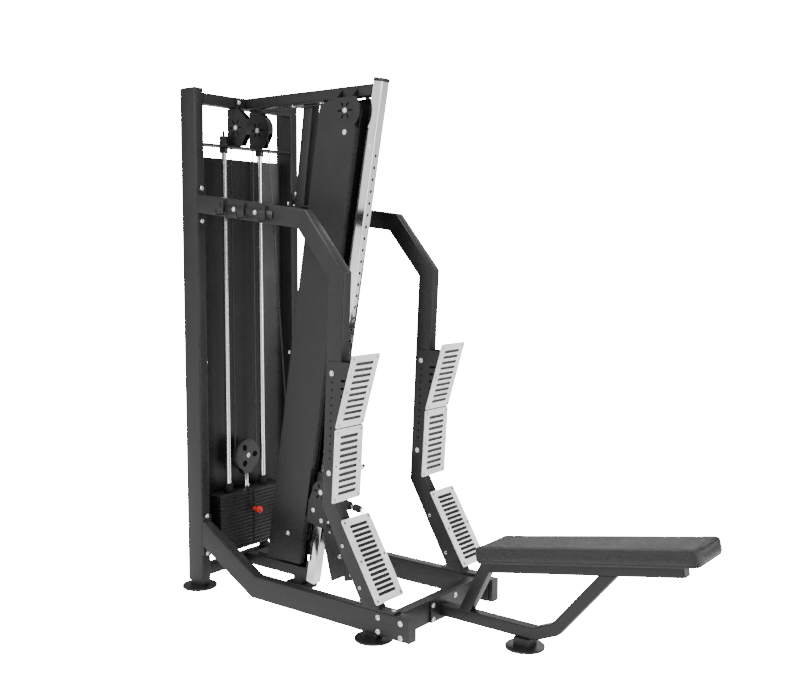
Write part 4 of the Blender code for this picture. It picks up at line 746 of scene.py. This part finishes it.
plate_pitch, stack_low = 0.0173, 0.137
for name, body, first, count in (("resting", "frame", 0, 10), ("lifted", "lift", 10, 6)):
    plates, hole_shades, rims = [], [], []
    for z in stack_low + plate_pitch * (first + 0.5 + np.arange(count)):
        plates.append(slab((rod_x, 0.0, z), (0.0985, 0.4205, 0.0166), LEVEL, 0.003, 0.0012))
        # Painted shade: a flat black disc inside each plate's pin rim stands for the dark inside of the pin
        # hole.
        hole_shades.append(turned([(0.0055, 0.0), (0.0055, 0.0003)], (0.09925, 0.0, z), (1, 0, 0), 20))
        rims.append(turned([(0.0078, 0.0), (0.0078, 0.0003), (0.0072, 0.0006), (0.0060, 0.0006),
                            (0.0056, 0.0002)], (0.0992, 0.0, z), (1, 0, 0), 24))
    add_piece(f"{name}_plates", *joined(*plates), cast_iron, "black_iron", body,
              replaces=[f"{name}_weight_plates"], crease=50.0)
    add_piece(f"{name}_pin_rims", *joined(*rims), cast_iron, "black_iron", body)
    add_piece(f"{name}_pin_hole_shades", *joined(*hole_shades), shadow_black, "black_iron", body)
stack_top = stack_low + plate_pitch * 16
bushes = [turned([(0.0215, stack_top - 0.002), (0.0225, stack_top), (0.022, stack_top + 0.041),
                  (0.0205, stack_top + 0.043), (0.0130, stack_top + 0.043)],
                 (rod_x, s * rod_half, 0), (0, 0, 1), 32) for s in (-1, 1)]
add_piece("stack_bushes", *joined(*bushes), rubber, "black_rubber", "lift")
selector = turned([(0.0105, 0.143), (0.0115, 0.144), (0.0115, stack_top + 0.010), (0.016, stack_top + 0.010),
                   (0.017, stack_top + 0.011), (0.017, stack_top + 0.022), (0.016, stack_top + 0.023),
                   (0.0115, stack_top + 0.023), (0.0115, stack_top + 0.072), (0.0105, stack_top + 0.074)],
                  (rod_x, 0, 0), (0, 0, 1), 32)
add_piece("selector_rod_bar", *selector, chrome, "chrome", "lift", replaces=["selector_rod"])
pin_z = stack_low + plate_pitch * 10.5
pin = turned([(0.0040, -0.012), (0.0045, -0.011), (0.0045, 0.056)], (rod_x, 0, pin_z), (1, 0, 0), 20)
add_piece("selector_pin_shaft", *pin, chrome, "chrome", "selector_pin", replaces=["selector_pin"])
knob_neck = turned([(0.0100, 0.0), (0.0110, 0.001), (0.0110, 0.018), (0.0095, 0.020), (0.0095, 0.022)],
                   (0.1015, 0, pin_z), (1, 0, 0), 40)
knob_points, knob_faces = turned([(0.0095, 0.021), (0.0140, 0.0225), (0.0163, 0.0255), (0.0170, 0.030),
                                  (0.0170, 0.041), (0.0160, 0.046), (0.0130, 0.049), (0.0085, 0.050)],
                                 (0.1015, 0, pin_z), (1, 0, 0), 96)
lobes = 1.0 - 0.06 * (1.0 + np.cos(np.arange(96) * math.tau / 96 * 6)) / 2
knob_points = knob_points.reshape(-1, 96, 3)
knob_points[..., 1] *= lobes
knob_points[..., 2] = pin_z + (knob_points[..., 2] - pin_z) * lobes
add_piece("selector_knob", *joined(knob_neck, (knob_points.reshape(-1, 3), knob_faces)), red_plastic,
          "red_plastic", "selector_pin")

# ---------------------------------------------------------------- pulleys and their covers
# Moulded nylon wheels, 88 to 152 mm across, with a round groove for a 6 mm cable and a recessed
# web.  Black guard discs with petal-shaped openings cover the ones that can be reached.
def wheel(centre, axis, outer, groove, half=0.010):
    """A grooved wheel: hub, recessed web, rim and a groove that narrows to the cable."""
    rim = [(outer - 0.014, half - 0.001), (outer - 0.012, half), (outer - 0.001, half),
           (outer, half - 0.001), (outer - 0.0006, half - 0.003), (groove + 0.002, 0.0036),
           (groove + 0.0006, 0.0022), (groove, 0.0008)]
    side = [(0.0062, half), (0.0165, half), (0.0175, half - 0.001), (0.0185, half - 0.005),
            (outer - 0.0150, half - 0.005)] + rim
    profile = [(r, -h) for r, h in side] + [(r, h) for r, h in side[::-1]]
    return turned(profile, centre, axis, 64)


def leaning_piece(surface):
    """The same surface with its points taken from the column's own directions into space."""
    return leaning(surface[0]), surface[1]


for name, centre, axis, outer, groove in (
        ("near_top_pulley", (0.100, -0.070, 2.135), (0, 1, 0), 0.0575, 0.0453),
        ("far_top_pulley", (0.100, 0.070, 2.135), (0, 1, 0), 0.0575, 0.0453),
        ("front_pulley", (0.748, -0.020, 2.166), (0, 1, 0), 0.0535, 0.0453),
        ("bottom_pulley", (0.400, 0.020, 0.262), (0, 1, 0), 0.0575, 0.0453),
        ("lift_pulley", (0.050, 0.0, 0.578), (1, 0, 0), 0.076, 0.0655)):
    add_piece(f"{name}_wheel", *wheel(centre, axis, outer, groove), nylon, "black_plastic", name,
              replaces=[name])
for name, centre, outer, groove in (("carriage_pulley", (0.030, -0.052, 0.500), 0.044, 0.036),
                                    ("swivel_pulley", (0.150, 0.0, 0.222), 0.050, 0.0405)):
    add_piece(f"{name}_wheel", *leaning_piece(wheel(centre, (0, 1, 0), outer, groove)), nylon,
              "black_plastic", name, replaces=[name])
eased("lift_pulley_block", nylon, "lift", width=0.001)


def guard_disc(centre, normal, up, outer, inner, count, thickness=0.0012, fill=(0.66, 0.30)):
    """Sectors round a hub, each a cell from a rounded petal out to its own edge: points, faces, frame."""
    normal, up = np.asarray(normal, float), np.asarray(up, float)
    side = np.cross(up, normal)
    sector = np.arange(count) * math.tau / count
    middle, reach, swing = (outer + inner) / 2, (outer - inner) / 2, math.pi / count

    def polar(shape, scale):
        """A cell bent round the hub: radius from its first value, angle from its second, tapered outwards."""
        radius = middle + reach * scale[0] * shape[:, 0]
        taper = 1.0 - 0.30 * shape[:, 0] * (scale[0] < 1)
        angle = sector[:, None] + swing * scale[1] * shape[:, 1] * taper
        return np.stack([radius * np.cos(angle), radius * np.sin(angle)], -1)

    rings = np.concatenate([polar(cell_round, fill), polar(cell_square, (1.0, 1.0))], 1)
    faces = (quads[None] + (np.arange(count) * 2 * cell_steps)[:, None, None]).reshape(-1, 4).tolist()
    flat = rings.reshape(-1, 2)
    inner_edge = np.unique(np.round(cell_square[cell_square[:, 0] < -1 + 1e-9][:, 1], 7))[:-1]
    hub_angle = (sector[:, None] + swing * inner_edge).ravel()
    hub = inner * np.stack([np.cos(hub_angle), np.sin(hub_angle)], -1)
    faces.append(list(range(len(flat), len(flat) + len(hub))))
    flat = np.concatenate([flat, hub])

    def place(points):
        """The centre, plus u along side, v along up and the thickness along the normal."""
        return np.asarray(centre) + points[:, :1] * side + points[:, 1:2] * up + thickness * normal

    return flat, faces, place


def add_guard(name, centre, normal, up, outer, inner, count, coating, slot, body="frame", mapping=None):
    """A guard disc with a flat black disc of painted shade behind its openings and a bolt at its centre."""
    flat, faces, place = guard_disc(centre, normal, up, outer, inner, count)
    lift_to = mapping or (lambda points: points)
    disc = sheet_piece(f"{name}_disc", flat, faces, lambda points: lift_to(place(points)), 0.0010, coating,
                       body)
    face = disc.data.polygons[0].normal
    out = lift_to(np.array([np.asarray(centre) + normal]))[0] - lift_to(np.array([np.asarray(centre)]))[0]
    if face.dot(Vector(out)) < 0:
        disc.data.flip_normals()
    # Painted shade: a flat black disc behind the openings stands for the dark space under the guard.
    shade_sheet = turned([(outer - 0.003, 0.0), (outer - 0.003, 0.0003)], centre, normal, 64)
    add_piece(f"{name}_ground", lift_to(shade_sheet[0]), shade_sheet[1], shadow_black, slot, body)
    middle = bolt(np.asarray(centre) + 0.0012 * np.asarray(normal), normal)
    add_piece(f"{name}_bolt", lift_to(middle[0]), middle[1], zinc, "chrome", body)


for side, y in (("near", -0.070), ("far", 0.070)):
    for face, out in (("outer", -1), ("inner", 1)):
        add_guard(f"{side}_top_{face}_guard", (0.100, y + out * 0.016, 2.135), (0, out, 0), (0, 0, 1), 0.044,
                  0.012, 6, powder_coat, "black_paint")
add_guard("lift_guard", (0.066, 0.0, 0.578), (1, 0, 0), (0, 0, 1), 0.070, 0.020, 3, nylon,
          "black_plastic", "lift")
for side, out in (("near", -1), ("far", 1)):
    add_guard(f"{side}_cover_guard", (0.748, out * 0.065, 2.166), (0, out, 0), (0, 0, 1), 0.046, 0.012, 6,
              powder_coat, "black_paint")


# ---------------------------------------------------------------- cables and lanyard
# Steel cable 6 mm across in a black nylon coat.  The drive cable is 4.94 m long: near top pulley,
# boom, front pulley, down behind the column, bottom pulley, far top pulley.  The stack cable, 3.33 m,
# hangs in two strands round the lift pulley.  A coiled cord ties the selector pin to the rod's head.
cable_coat = finish("cable_coat", (0.010, 0.010, 0.0105), 0.30, grain=(900.0, 0.35, 0.0002), sheen=0.10,
                    coat=0.2)


def cord(path, radius, normal, sides=16):
    """A round cord: a circle at each point, square to the path, turned from one fixed normal."""
    path, normal = np.asarray(path, float), np.asarray(normal, float)
    along = np.gradient(path, axis=0)
    along /= np.linalg.norm(along, axis=1)[:, None]
    side = np.cross(along, normal)
    side /= np.linalg.norm(side, axis=1)[:, None]
    third = np.cross(along, side)
    turn = np.arange(sides) * math.tau / sides
    ring = radius * (np.cos(turn)[None, :, None] * side[:, None]
                     + np.sin(turn)[None, :, None] * third[:, None])
    return (path[:, None] + ring).reshape(-1, 3), ring_faces(len(path), sides)


def bend(centre, radius, first, last, y):
    """Places on an arc in the XZ plane, from one angle to another in degrees, three degrees apart."""
    turn = np.radians(np.linspace(first, last, int(abs(last - first) / 3) + 2))
    return np.column_stack([centre[0] + radius * np.cos(turn), np.full(len(turn), y),
                            centre[1] + radius * np.sin(turn)])


run = 0.050
top_hub, front_hub, low_hub = (0.100, 2.135), (0.748, 2.166), (0.400, 0.262)
boom_slope = math.degrees(math.atan2(front_hub[1] - top_hub[1], front_hub[0] - top_hub[0]))
drop_slope = math.degrees(math.atan2(front_hub[0] - low_hub[0], front_hub[1] - low_hub[1]))
back_slope = math.degrees(math.atan2(low_hub[0] - top_hub[0] - 2 * run, top_hub[1] - low_hub[1]))
drive_path = np.concatenate([bend(top_hub, run, 180, 90 + boom_slope, -0.070),
                             bend(front_hub, run, 90 + boom_slope, -drop_slope, -0.020),
                             bend(low_hub, run, -drop_slope, -180 + back_slope, 0.020),
                             bend(top_hub, run, back_slope, 180, 0.070)])
add_piece("drive_cable_line", *cord(drive_path, 0.003, (0, 1, 0)), cable_coat, "cable_coat",
          replaces=["drive_cable"])
anchor_z, lift_z, half_gap = 2.1345, 0.578, 0.070
under = np.radians(np.linspace(180, 360, 61))
loop = np.column_stack([np.full(61, 0.050), half_gap * np.cos(under), lift_z + half_gap * np.sin(under)])
add_piece("stack_cable_loop", *cord(loop, 0.003, (1, 0, 0)), cable_coat, "cable_coat", "lift",
          replaces=["stack_cable"])
for side, sign in (("near", -1), ("far", 1)):
    heights = np.linspace(lift_z, anchor_z, 80)
    strand = np.column_stack([np.full(80, 0.050), np.full(80, sign * half_gap), heights])
    line = add_piece(f"{side}_stack_strand", *cord(strand, 0.003, (1, 0, 0)), cable_coat, "cable_coat")
    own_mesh(line)

coil_route = np.array([(0.066, -0.014, 0.4218), (0.090, -0.022, 0.4238), (0.1045, -0.024, 0.4180),
                       (0.1085, -0.024, 0.4060), (0.109, -0.024, 0.3838), (0.110, -0.0235, 0.3487),
                       (0.112, -0.0225, 0.3247)])
gone = np.concatenate([[0.0], np.cumsum(np.linalg.norm(np.diff(coil_route, axis=0), axis=1))])
along_route = np.linspace(0.0, gone[-1], 700)
core = np.column_stack([np.interp(along_route, gone, coil_route[:, k]) for k in range(3)])
kernel = np.ones(41) / 41
core = np.column_stack([np.convolve(np.pad(core[:, k], 20, mode="edge"), kernel, "valid") for k in range(3)])
heading = np.gradient(core, axis=0)
heading /= np.linalg.norm(heading, axis=1)[:, None]
beside = np.cross(heading, (0.0, 1.0, 0.0))
beside /= np.linalg.norm(beside, axis=1)[:, None]
spin = along_route / gone[-1] * 19 * math.tau
coil_radius = 0.0040 * np.clip(np.minimum(along_route, gone[-1] - along_route) / 0.006, 0.05, 1.0)
coil = core + coil_radius[:, None] * (np.cos(spin)[:, None] * beside
                                      + np.sin(spin)[:, None] * np.cross(heading, beside))
lanyard = add_piece("pin_lanyard_coil", *cord(coil, 0.0014, (0.31, 0.93, 0.20), 10), cable_coat,
                    "cable_coat", None, replaces=["pin_lanyard"])
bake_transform(lanyard)

# ---------------------------------------------------------------- hook rail
# A flat bar bolted along the near arm with three J hooks of 10 mm round steel welded on, to hang
# the handles on, painted with the frame.
arm_slope = (1.7782 - 1.7012) / (0.7364 - 0.1085)
arm_y = -0.3305
AGAINST_ARM = np.array([[math.cos(math.atan(arm_slope)), 0, -math.sin(math.atan(arm_slope))],
                        [math.sin(math.atan(arm_slope)), 0, math.cos(math.atan(arm_slope))], [0, -1, 0]])
hook_parts = [slab((0.414, arm_y - 0.0025, 1.7782 - (0.414 - 0.1085) * arm_slope), (0.329, 0.032, 0.005),
                   AGAINST_ARM, 0.003, 0.0008)]
for x in (0.283, 0.411, 0.539):
    middle = 1.7782 - (x - 0.1085) * arm_slope
    quarter = np.radians(np.linspace(0, 90, 12))
    back, tip, low, radius = arm_y - 0.0095, arm_y - 0.0560, middle - 0.032, 0.016
    path = np.concatenate([[[x, back, z] for z in np.linspace(middle + 0.034, low + radius + 0.003, 8)],
                           np.column_stack([np.full(12, x), back - radius + radius * np.cos(quarter),
                                            low + radius - radius * np.sin(quarter)]),
                           np.column_stack([np.full(12, x), tip + radius - radius * np.sin(quarter),
                                            low + radius - radius * np.cos(quarter)]),
                           [[x, tip, z] for z in np.linspace(low + radius + 0.003, middle - 0.002, 5)]])
    hook_parts.append(cord(path, 0.0050, (1, 0, 0), 20))
add_piece("hook_rail_bar", *joined(*hook_parts), powder_coat, "black_paint", replaces=["hook_rail"],
          crease=50.0)
hook_bolts = [bolt((x, arm_y - 0.005, z), (0, -1, 0), 0.0075) for x, z in ((0.345, 1.749), (0.475, 1.733))]
add_piece("hook_rail_bolts", *joined(*hook_bolts), zinc, "chrome")

# ---------------------------------------------------------------- carriage, swivel and cable end
# A welded sleeve slides on the column; its near cheek guards a side pulley and its arm ends at the
# cable's rubber stop.  A sprung pin with a chromed lever locks it.  Under it hangs a swivel with two
# moulded shells round the last pulley.
eased("carriage", powder_coat, "carriage", width=0.0012)
eased("pop_pin", chrome, "pop_pin", width=0.0012)
eased("swivel_block", nylon, "swivel", width=0.0018)
add_guard("side_pulley", (0.030, -0.0695, 0.500), (0, -1, 0), (0, 0, 1), 0.046, 0.014, 6, powder_coat,
          "black_paint", "carriage", leaning)
carriage_bolts = [bolt((x, y, z), (0, s, 0), 0.0075)
                  for x, y, z, s in ((0.000, -0.0695, 0.405, -1), (0.055, -0.0695, 0.372, -1),
                                     (0.100, -0.018, 0.440, -1), (0.100, 0.018, 0.440, 1))]
points, faces = joined(*carriage_bolts)
add_piece("carriage_bolts", leaning(points), faces, zinc, "chrome", "carriage")
swivel_bolts = [bolt((0.150, s * 0.0205, 0.222), (0, s, 0), 0.0080) for s in (-1, 1)]
swivel_bolts += [bolt((x, s * 0.0205, z), (0, s, 0), 0.0045, 0.004) for s in (-1, 1)
                 for x, z in ((0.075, 0.312), (0.226, 0.160))]
points, faces = joined(*swivel_bolts)
add_piece("swivel_bolts", leaning(points), faces, zinc, "chrome", "swivel")
tip = leaning((0.12625, 0.0, 0.4595)) + (0.0005, 0.0, 0.0)
stop = turned([(0.018, 0.0), (0.0205, 0.001), (0.021, 0.004), (0.021, 0.026), (0.0195, 0.029), (0.015, 0.030)],
              tip, (1, 0, 0), 40)
sleeve = turned([(0.0140, 0.0), (0.0165, 0.002), (0.017, 0.005), (0.017, 0.030), (0.0165, 0.035),
                 (0.012, 0.038)], tip + (0.050, 0.0, -0.0025), (0.992, 0.0, -0.126), 40)
add_piece("cable_stop_rubber", *joined(stop, sleeve), rubber, "black_rubber", "carriage",
          replaces=["cable_stop"])
link = turned([(0.0060, 0.0), (0.0060, 0.022)], tip + (0.029, 0.0, 0.0), (0.992, 0.0, -0.126), 24)
turn = np.radians(np.linspace(0, 360, 48, endpoint=False))
ring_path = tip + (0.098, 0.0, -0.0085) + 0.0105 * np.column_stack([np.cos(turn), 0 * turn, np.sin(turn)])
section = np.linspace(0, math.tau, 12, endpoint=False)
outwards = np.column_stack([np.cos(turn), 0 * turn, np.sin(turn)])
eye = ring_path[:, None] + 0.0034 * (np.cos(section)[None, :, None] * outwards[:, None]
                                     + np.sin(section)[None, :, None] * np.array([0.0, 1.0, 0.0]))
i, j = np.meshgrid(np.arange(48), np.arange(12), indexing="ij")
this_ring, next_ring, next_side = i * 12, (i + 1) % 48 * 12, (j + 1) % 12
eye_faces = np.stack([this_ring + j, this_ring + next_side, next_ring + next_side, next_ring + j], -1)
add_piece("cable_eye", *joined(link, (eye.reshape(-1, 3), eye_faces.reshape(-1, 4).tolist())), zinc, "chrome",
          "carriage")

# ---------------------------------------------------------------- feet
# Round steel discs 160 mm across and 10 mm thick on short welded posts, with a thin rubber sole: two
# at the rear, two in front, one in the middle and one under the seat frame, painted with the frame.
for name, x, y, post_top, size in (("near_rear_foot", 0.050, -0.305, 0.031, (0.080, 0.044)),
                                   ("far_rear_foot", 0.050, 0.305, 0.031, (0.080, 0.044)),
                                   ("near_front_foot", 1.102, -0.305, 0.031, (0.060, 0.044)),
                                   ("far_front_foot", 1.102, 0.305, 0.031, (0.060, 0.044)),
                                   ("centre_foot", 0.410, 0.0, 0.048, (0.052, 0.048)),
                                   ("seat_foot", 1.631, 0.0, 0.0465, (0.070, 0.070))):
    sole = turned([(0.0780, 0.0), (0.0795, 0.0008), (0.0795, 0.0022), (0.070, 0.0024)], (x, y, 0),
                  (0, 0, 1), 72)
    add_piece(f"{name}_sole", *sole, rubber, "black_rubber")
    disc = turned([(0.0790, 0.0024), (0.0800, 0.0034), (0.0800, 0.0088), (0.0788, 0.0100), (0.046, 0.0102),
                   (0.044, 0.0104)], (x, y, 0), (0, 0, 1), 72)
    post = slab((x, y, (0.009 + post_top) / 2), (*size, post_top - 0.0095), LEVEL, 0.004)
    add_piece(f"{name}_disc", *joined(disc, post), powder_coat, "black_paint", replaces=[name])

# ---------------------------------------------------------------- seat pad
# A foam pad 935 by 250 by 65 mm on a plywood board, wrapped in black pebbled leatherette that is
# pulled round the edges, so it shows no seam.  A short cloth simulation gives the foam its swell.
# leather_pebbles: a drifting cell pattern as the grain's height for the bump, and its inverse as the mask for
# shade painted into the valleys.
pebbles, entry, leave = effect_group(
    "leather_pebbles", [("Vector", "NodeSocketVector", None), ("Scale", "NodeSocketFloat", 165.0)],
    ["Height", "Crease"])
cells = add_node(pebbles, "ShaderNodeTexVoronoi", {"feature": "DISTANCE_TO_EDGE"})
wander = add_node(pebbles, "ShaderNodeTexNoise", Scale=160.0, Detail=3.0)
shift = add_node(pebbles, "ShaderNodeVectorMath", {"operation": "MULTIPLY_ADD"})
shift.inputs[1].default_value = (0.004, 0.004, 0.004)
rounded = add_node(pebbles, "ShaderNodeMapRange", {"interpolation_type": "SMOOTHSTEP"})
rounded.inputs["From Max"].default_value = 0.30
valley_shade_mask = add_node(pebbles, "ShaderNodeMath", {"operation": "SUBTRACT"})
valley_shade_mask.inputs[0].default_value = 1.0
pebbles.links.new(entry.outputs["Vector"], wander.inputs["Vector"])
pebbles.links.new(wander.outputs["Color"], shift.inputs[0])
pebbles.links.new(entry.outputs["Vector"], shift.inputs[2])
pebbles.links.new(shift.outputs[0], cells.inputs["Vector"])
pebbles.links.new(entry.outputs["Scale"], cells.inputs["Scale"])
pebbles.links.new(cells.outputs["Distance"], rounded.inputs["Value"])
pebbles.links.new(rounded.outputs["Result"], leave.inputs["Height"])
pebbles.links.new(rounded.outputs["Result"], valley_shade_mask.inputs[1])
pebbles.links.new(valley_shade_mask.outputs[0], leave.inputs["Crease"])

leatherette = finish("leatherette", (0.014, 0.014, 0.0145), 0.46, grain=(300.0, 0.0, 0.0001), sheen=0.12,
                     dust=0.05, specular=0.42)
tree = leatherette.node_tree
shader = tree.nodes["Principled BSDF"]
place = add_node(tree, "ShaderNodeTexCoord")
pebbled = add_node(tree, "ShaderNodeGroup", {"node_tree": pebbles})
pebble_bump = add_node(tree, "ShaderNodeBump", Strength=0.7, Distance=0.0014)
tree.links.new(place.outputs["Object"], pebbled.inputs["Vector"])
tree.links.new(pebbled.outputs["Height"], pebble_bump.inputs["Height"])
tree.links.new(pebble_bump.outputs["Normal"], shader.inputs["Normal"])
paint_link = shader.inputs["Base Color"].links[0]
# Painted shade: the valleys between the pebbles are mixed up to 60 percent towards near black.
valley_shade = add_node(tree, "ShaderNodeMix", {"data_type": "RGBA"})
valley_shade.inputs[7].default_value = (0.004, 0.004, 0.004, 1.0)
valley_shade_strength = add_node(tree, "ShaderNodeMath", {"operation": "MULTIPLY"})
valley_shade_strength.inputs[1].default_value = 0.6
tree.links.new(pebbled.outputs["Crease"], valley_shade_strength.inputs[0])
tree.links.new(valley_shade_strength.outputs[0], valley_shade.inputs[0])
tree.links.new(paint_link.from_socket, valley_shade.inputs[6])
tree.links.new(valley_shade.outputs[2], shader.inputs["Base Color"])

pad_length, pad_width, pad_thick = 0.935, 0.250, 0.065
pad_rear = np.array([1.462, 0.0, 0.3385])
PAD = np.array([[math.cos(seat_tilt), 0, math.sin(seat_tilt)], [0, 1, 0],
                [-math.sin(seat_tilt), 0, math.cos(seat_tilt)]])


def pad_surface(shrink):
    """The pad before it swells: outlines with 26 mm corners, drawn in round the lower and upper edge."""
    low, high = 0.007, pad_thick - shrink
    rings = []
    lower = np.radians(np.linspace(0, 90, 5))
    upper = np.radians(np.linspace(0, 90, 8))
    steps = [(0.005 * (1 - math.sin(a)), low + 0.005 * (1 - math.cos(a))) for a in lower]
    steps += [(0.0, z) for z in np.linspace(low + 0.012, high - 0.016, 6)]
    steps += [(0.011 * (1 - math.cos(a)), high - 0.011 * (1 - math.sin(a))) for a in upper]
    for inset, height in steps:
        outline = tube_outline(pad_length - 2 * (shrink + inset), pad_width - 2 * (shrink + inset),
                               0.026 - inset, 10)
        rings.append(np.column_stack([outline + (pad_length / 2, 0), np.full(len(outline), height)]))
    sides = len(rings[0])
    return np.concatenate(rings) @ PAD + pad_rear, ring_faces(len(rings), sides)


swell, voxel, glued_height = 0.0028, 0.004, 0.012
pad = add_piece("seat_pad_cover", *pad_surface(swell), leatherette, "upholstery", None, replaces=["seat_pad"],
                crease=180.0)
bpy.context.view_layer.objects.active = pad
remesh = pad.modifiers.new("voxels", "REMESH")
remesh.mode = "VOXEL"
remesh.voxel_size = voxel
remesh.use_smooth_shade = True
bpy.ops.object.modifier_apply(modifier="voxels")
rest = np.empty(len(pad.data.vertices) * 3)
pad.data.vertices.foreach_get("co", rest)
rest = rest.reshape(-1, 3)
height = (rest - (pad_rear + (rear_x, 0, 0))) @ PAD[2]
glued = pad.vertex_groups.new(name="glued")
glued.add([int(k) for k in np.flatnonzero(height < glued_height)], 1.0, "REPLACE")
cloth = pad.modifiers.new("cloth", "CLOTH")
cloth.settings.use_pressure = True
cloth.settings.uniform_pressure_force = 4.0
cloth.settings.effector_weights.gravity = 0.0
cloth.settings.vertex_group_mass = "glued"
for frame_number in range(1, 21):
    bpy.context.scene.frame_set(frame_number)
shown = pad.evaluated_get(bpy.context.evaluated_depsgraph_get()).to_mesh()
swollen = np.empty(len(shown.vertices) * 3)
shown.vertices.foreach_get("co", swollen)
pad.modifiers.remove(cloth)
moved = swollen.reshape(-1, 3) - rest
far = np.linalg.norm(moved, axis=1)[:, None]
moved *= np.minimum(1.0, swell / np.maximum(far, 1e-9))
pad.data.vertices.foreach_set("co", (rest + moved).ravel())
pad.data.update()
bpy.context.scene.frame_set(1)
settle = pad.modifiers.new("settle", "SMOOTH")
settle.factor = 0.5
settle.iterations = 5
bpy.ops.object.modifier_apply(modifier="settle")
pad.data.shade_smooth()
finer = pad.modifiers.new("finer", "SUBSURF")
finer.levels = 1
finer.render_levels = 1
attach(pad, "frame")
board_points, board_faces = slab((pad_length / 2, 0.0, 0.0038),
                                 (pad_length - 0.016, pad_width - 0.016, 0.0076), LEVEL, 0.020, 0.0010)
add_piece("seat_board", board_points @ PAD + pad_rear, board_faces, nylon, "black_plastic")
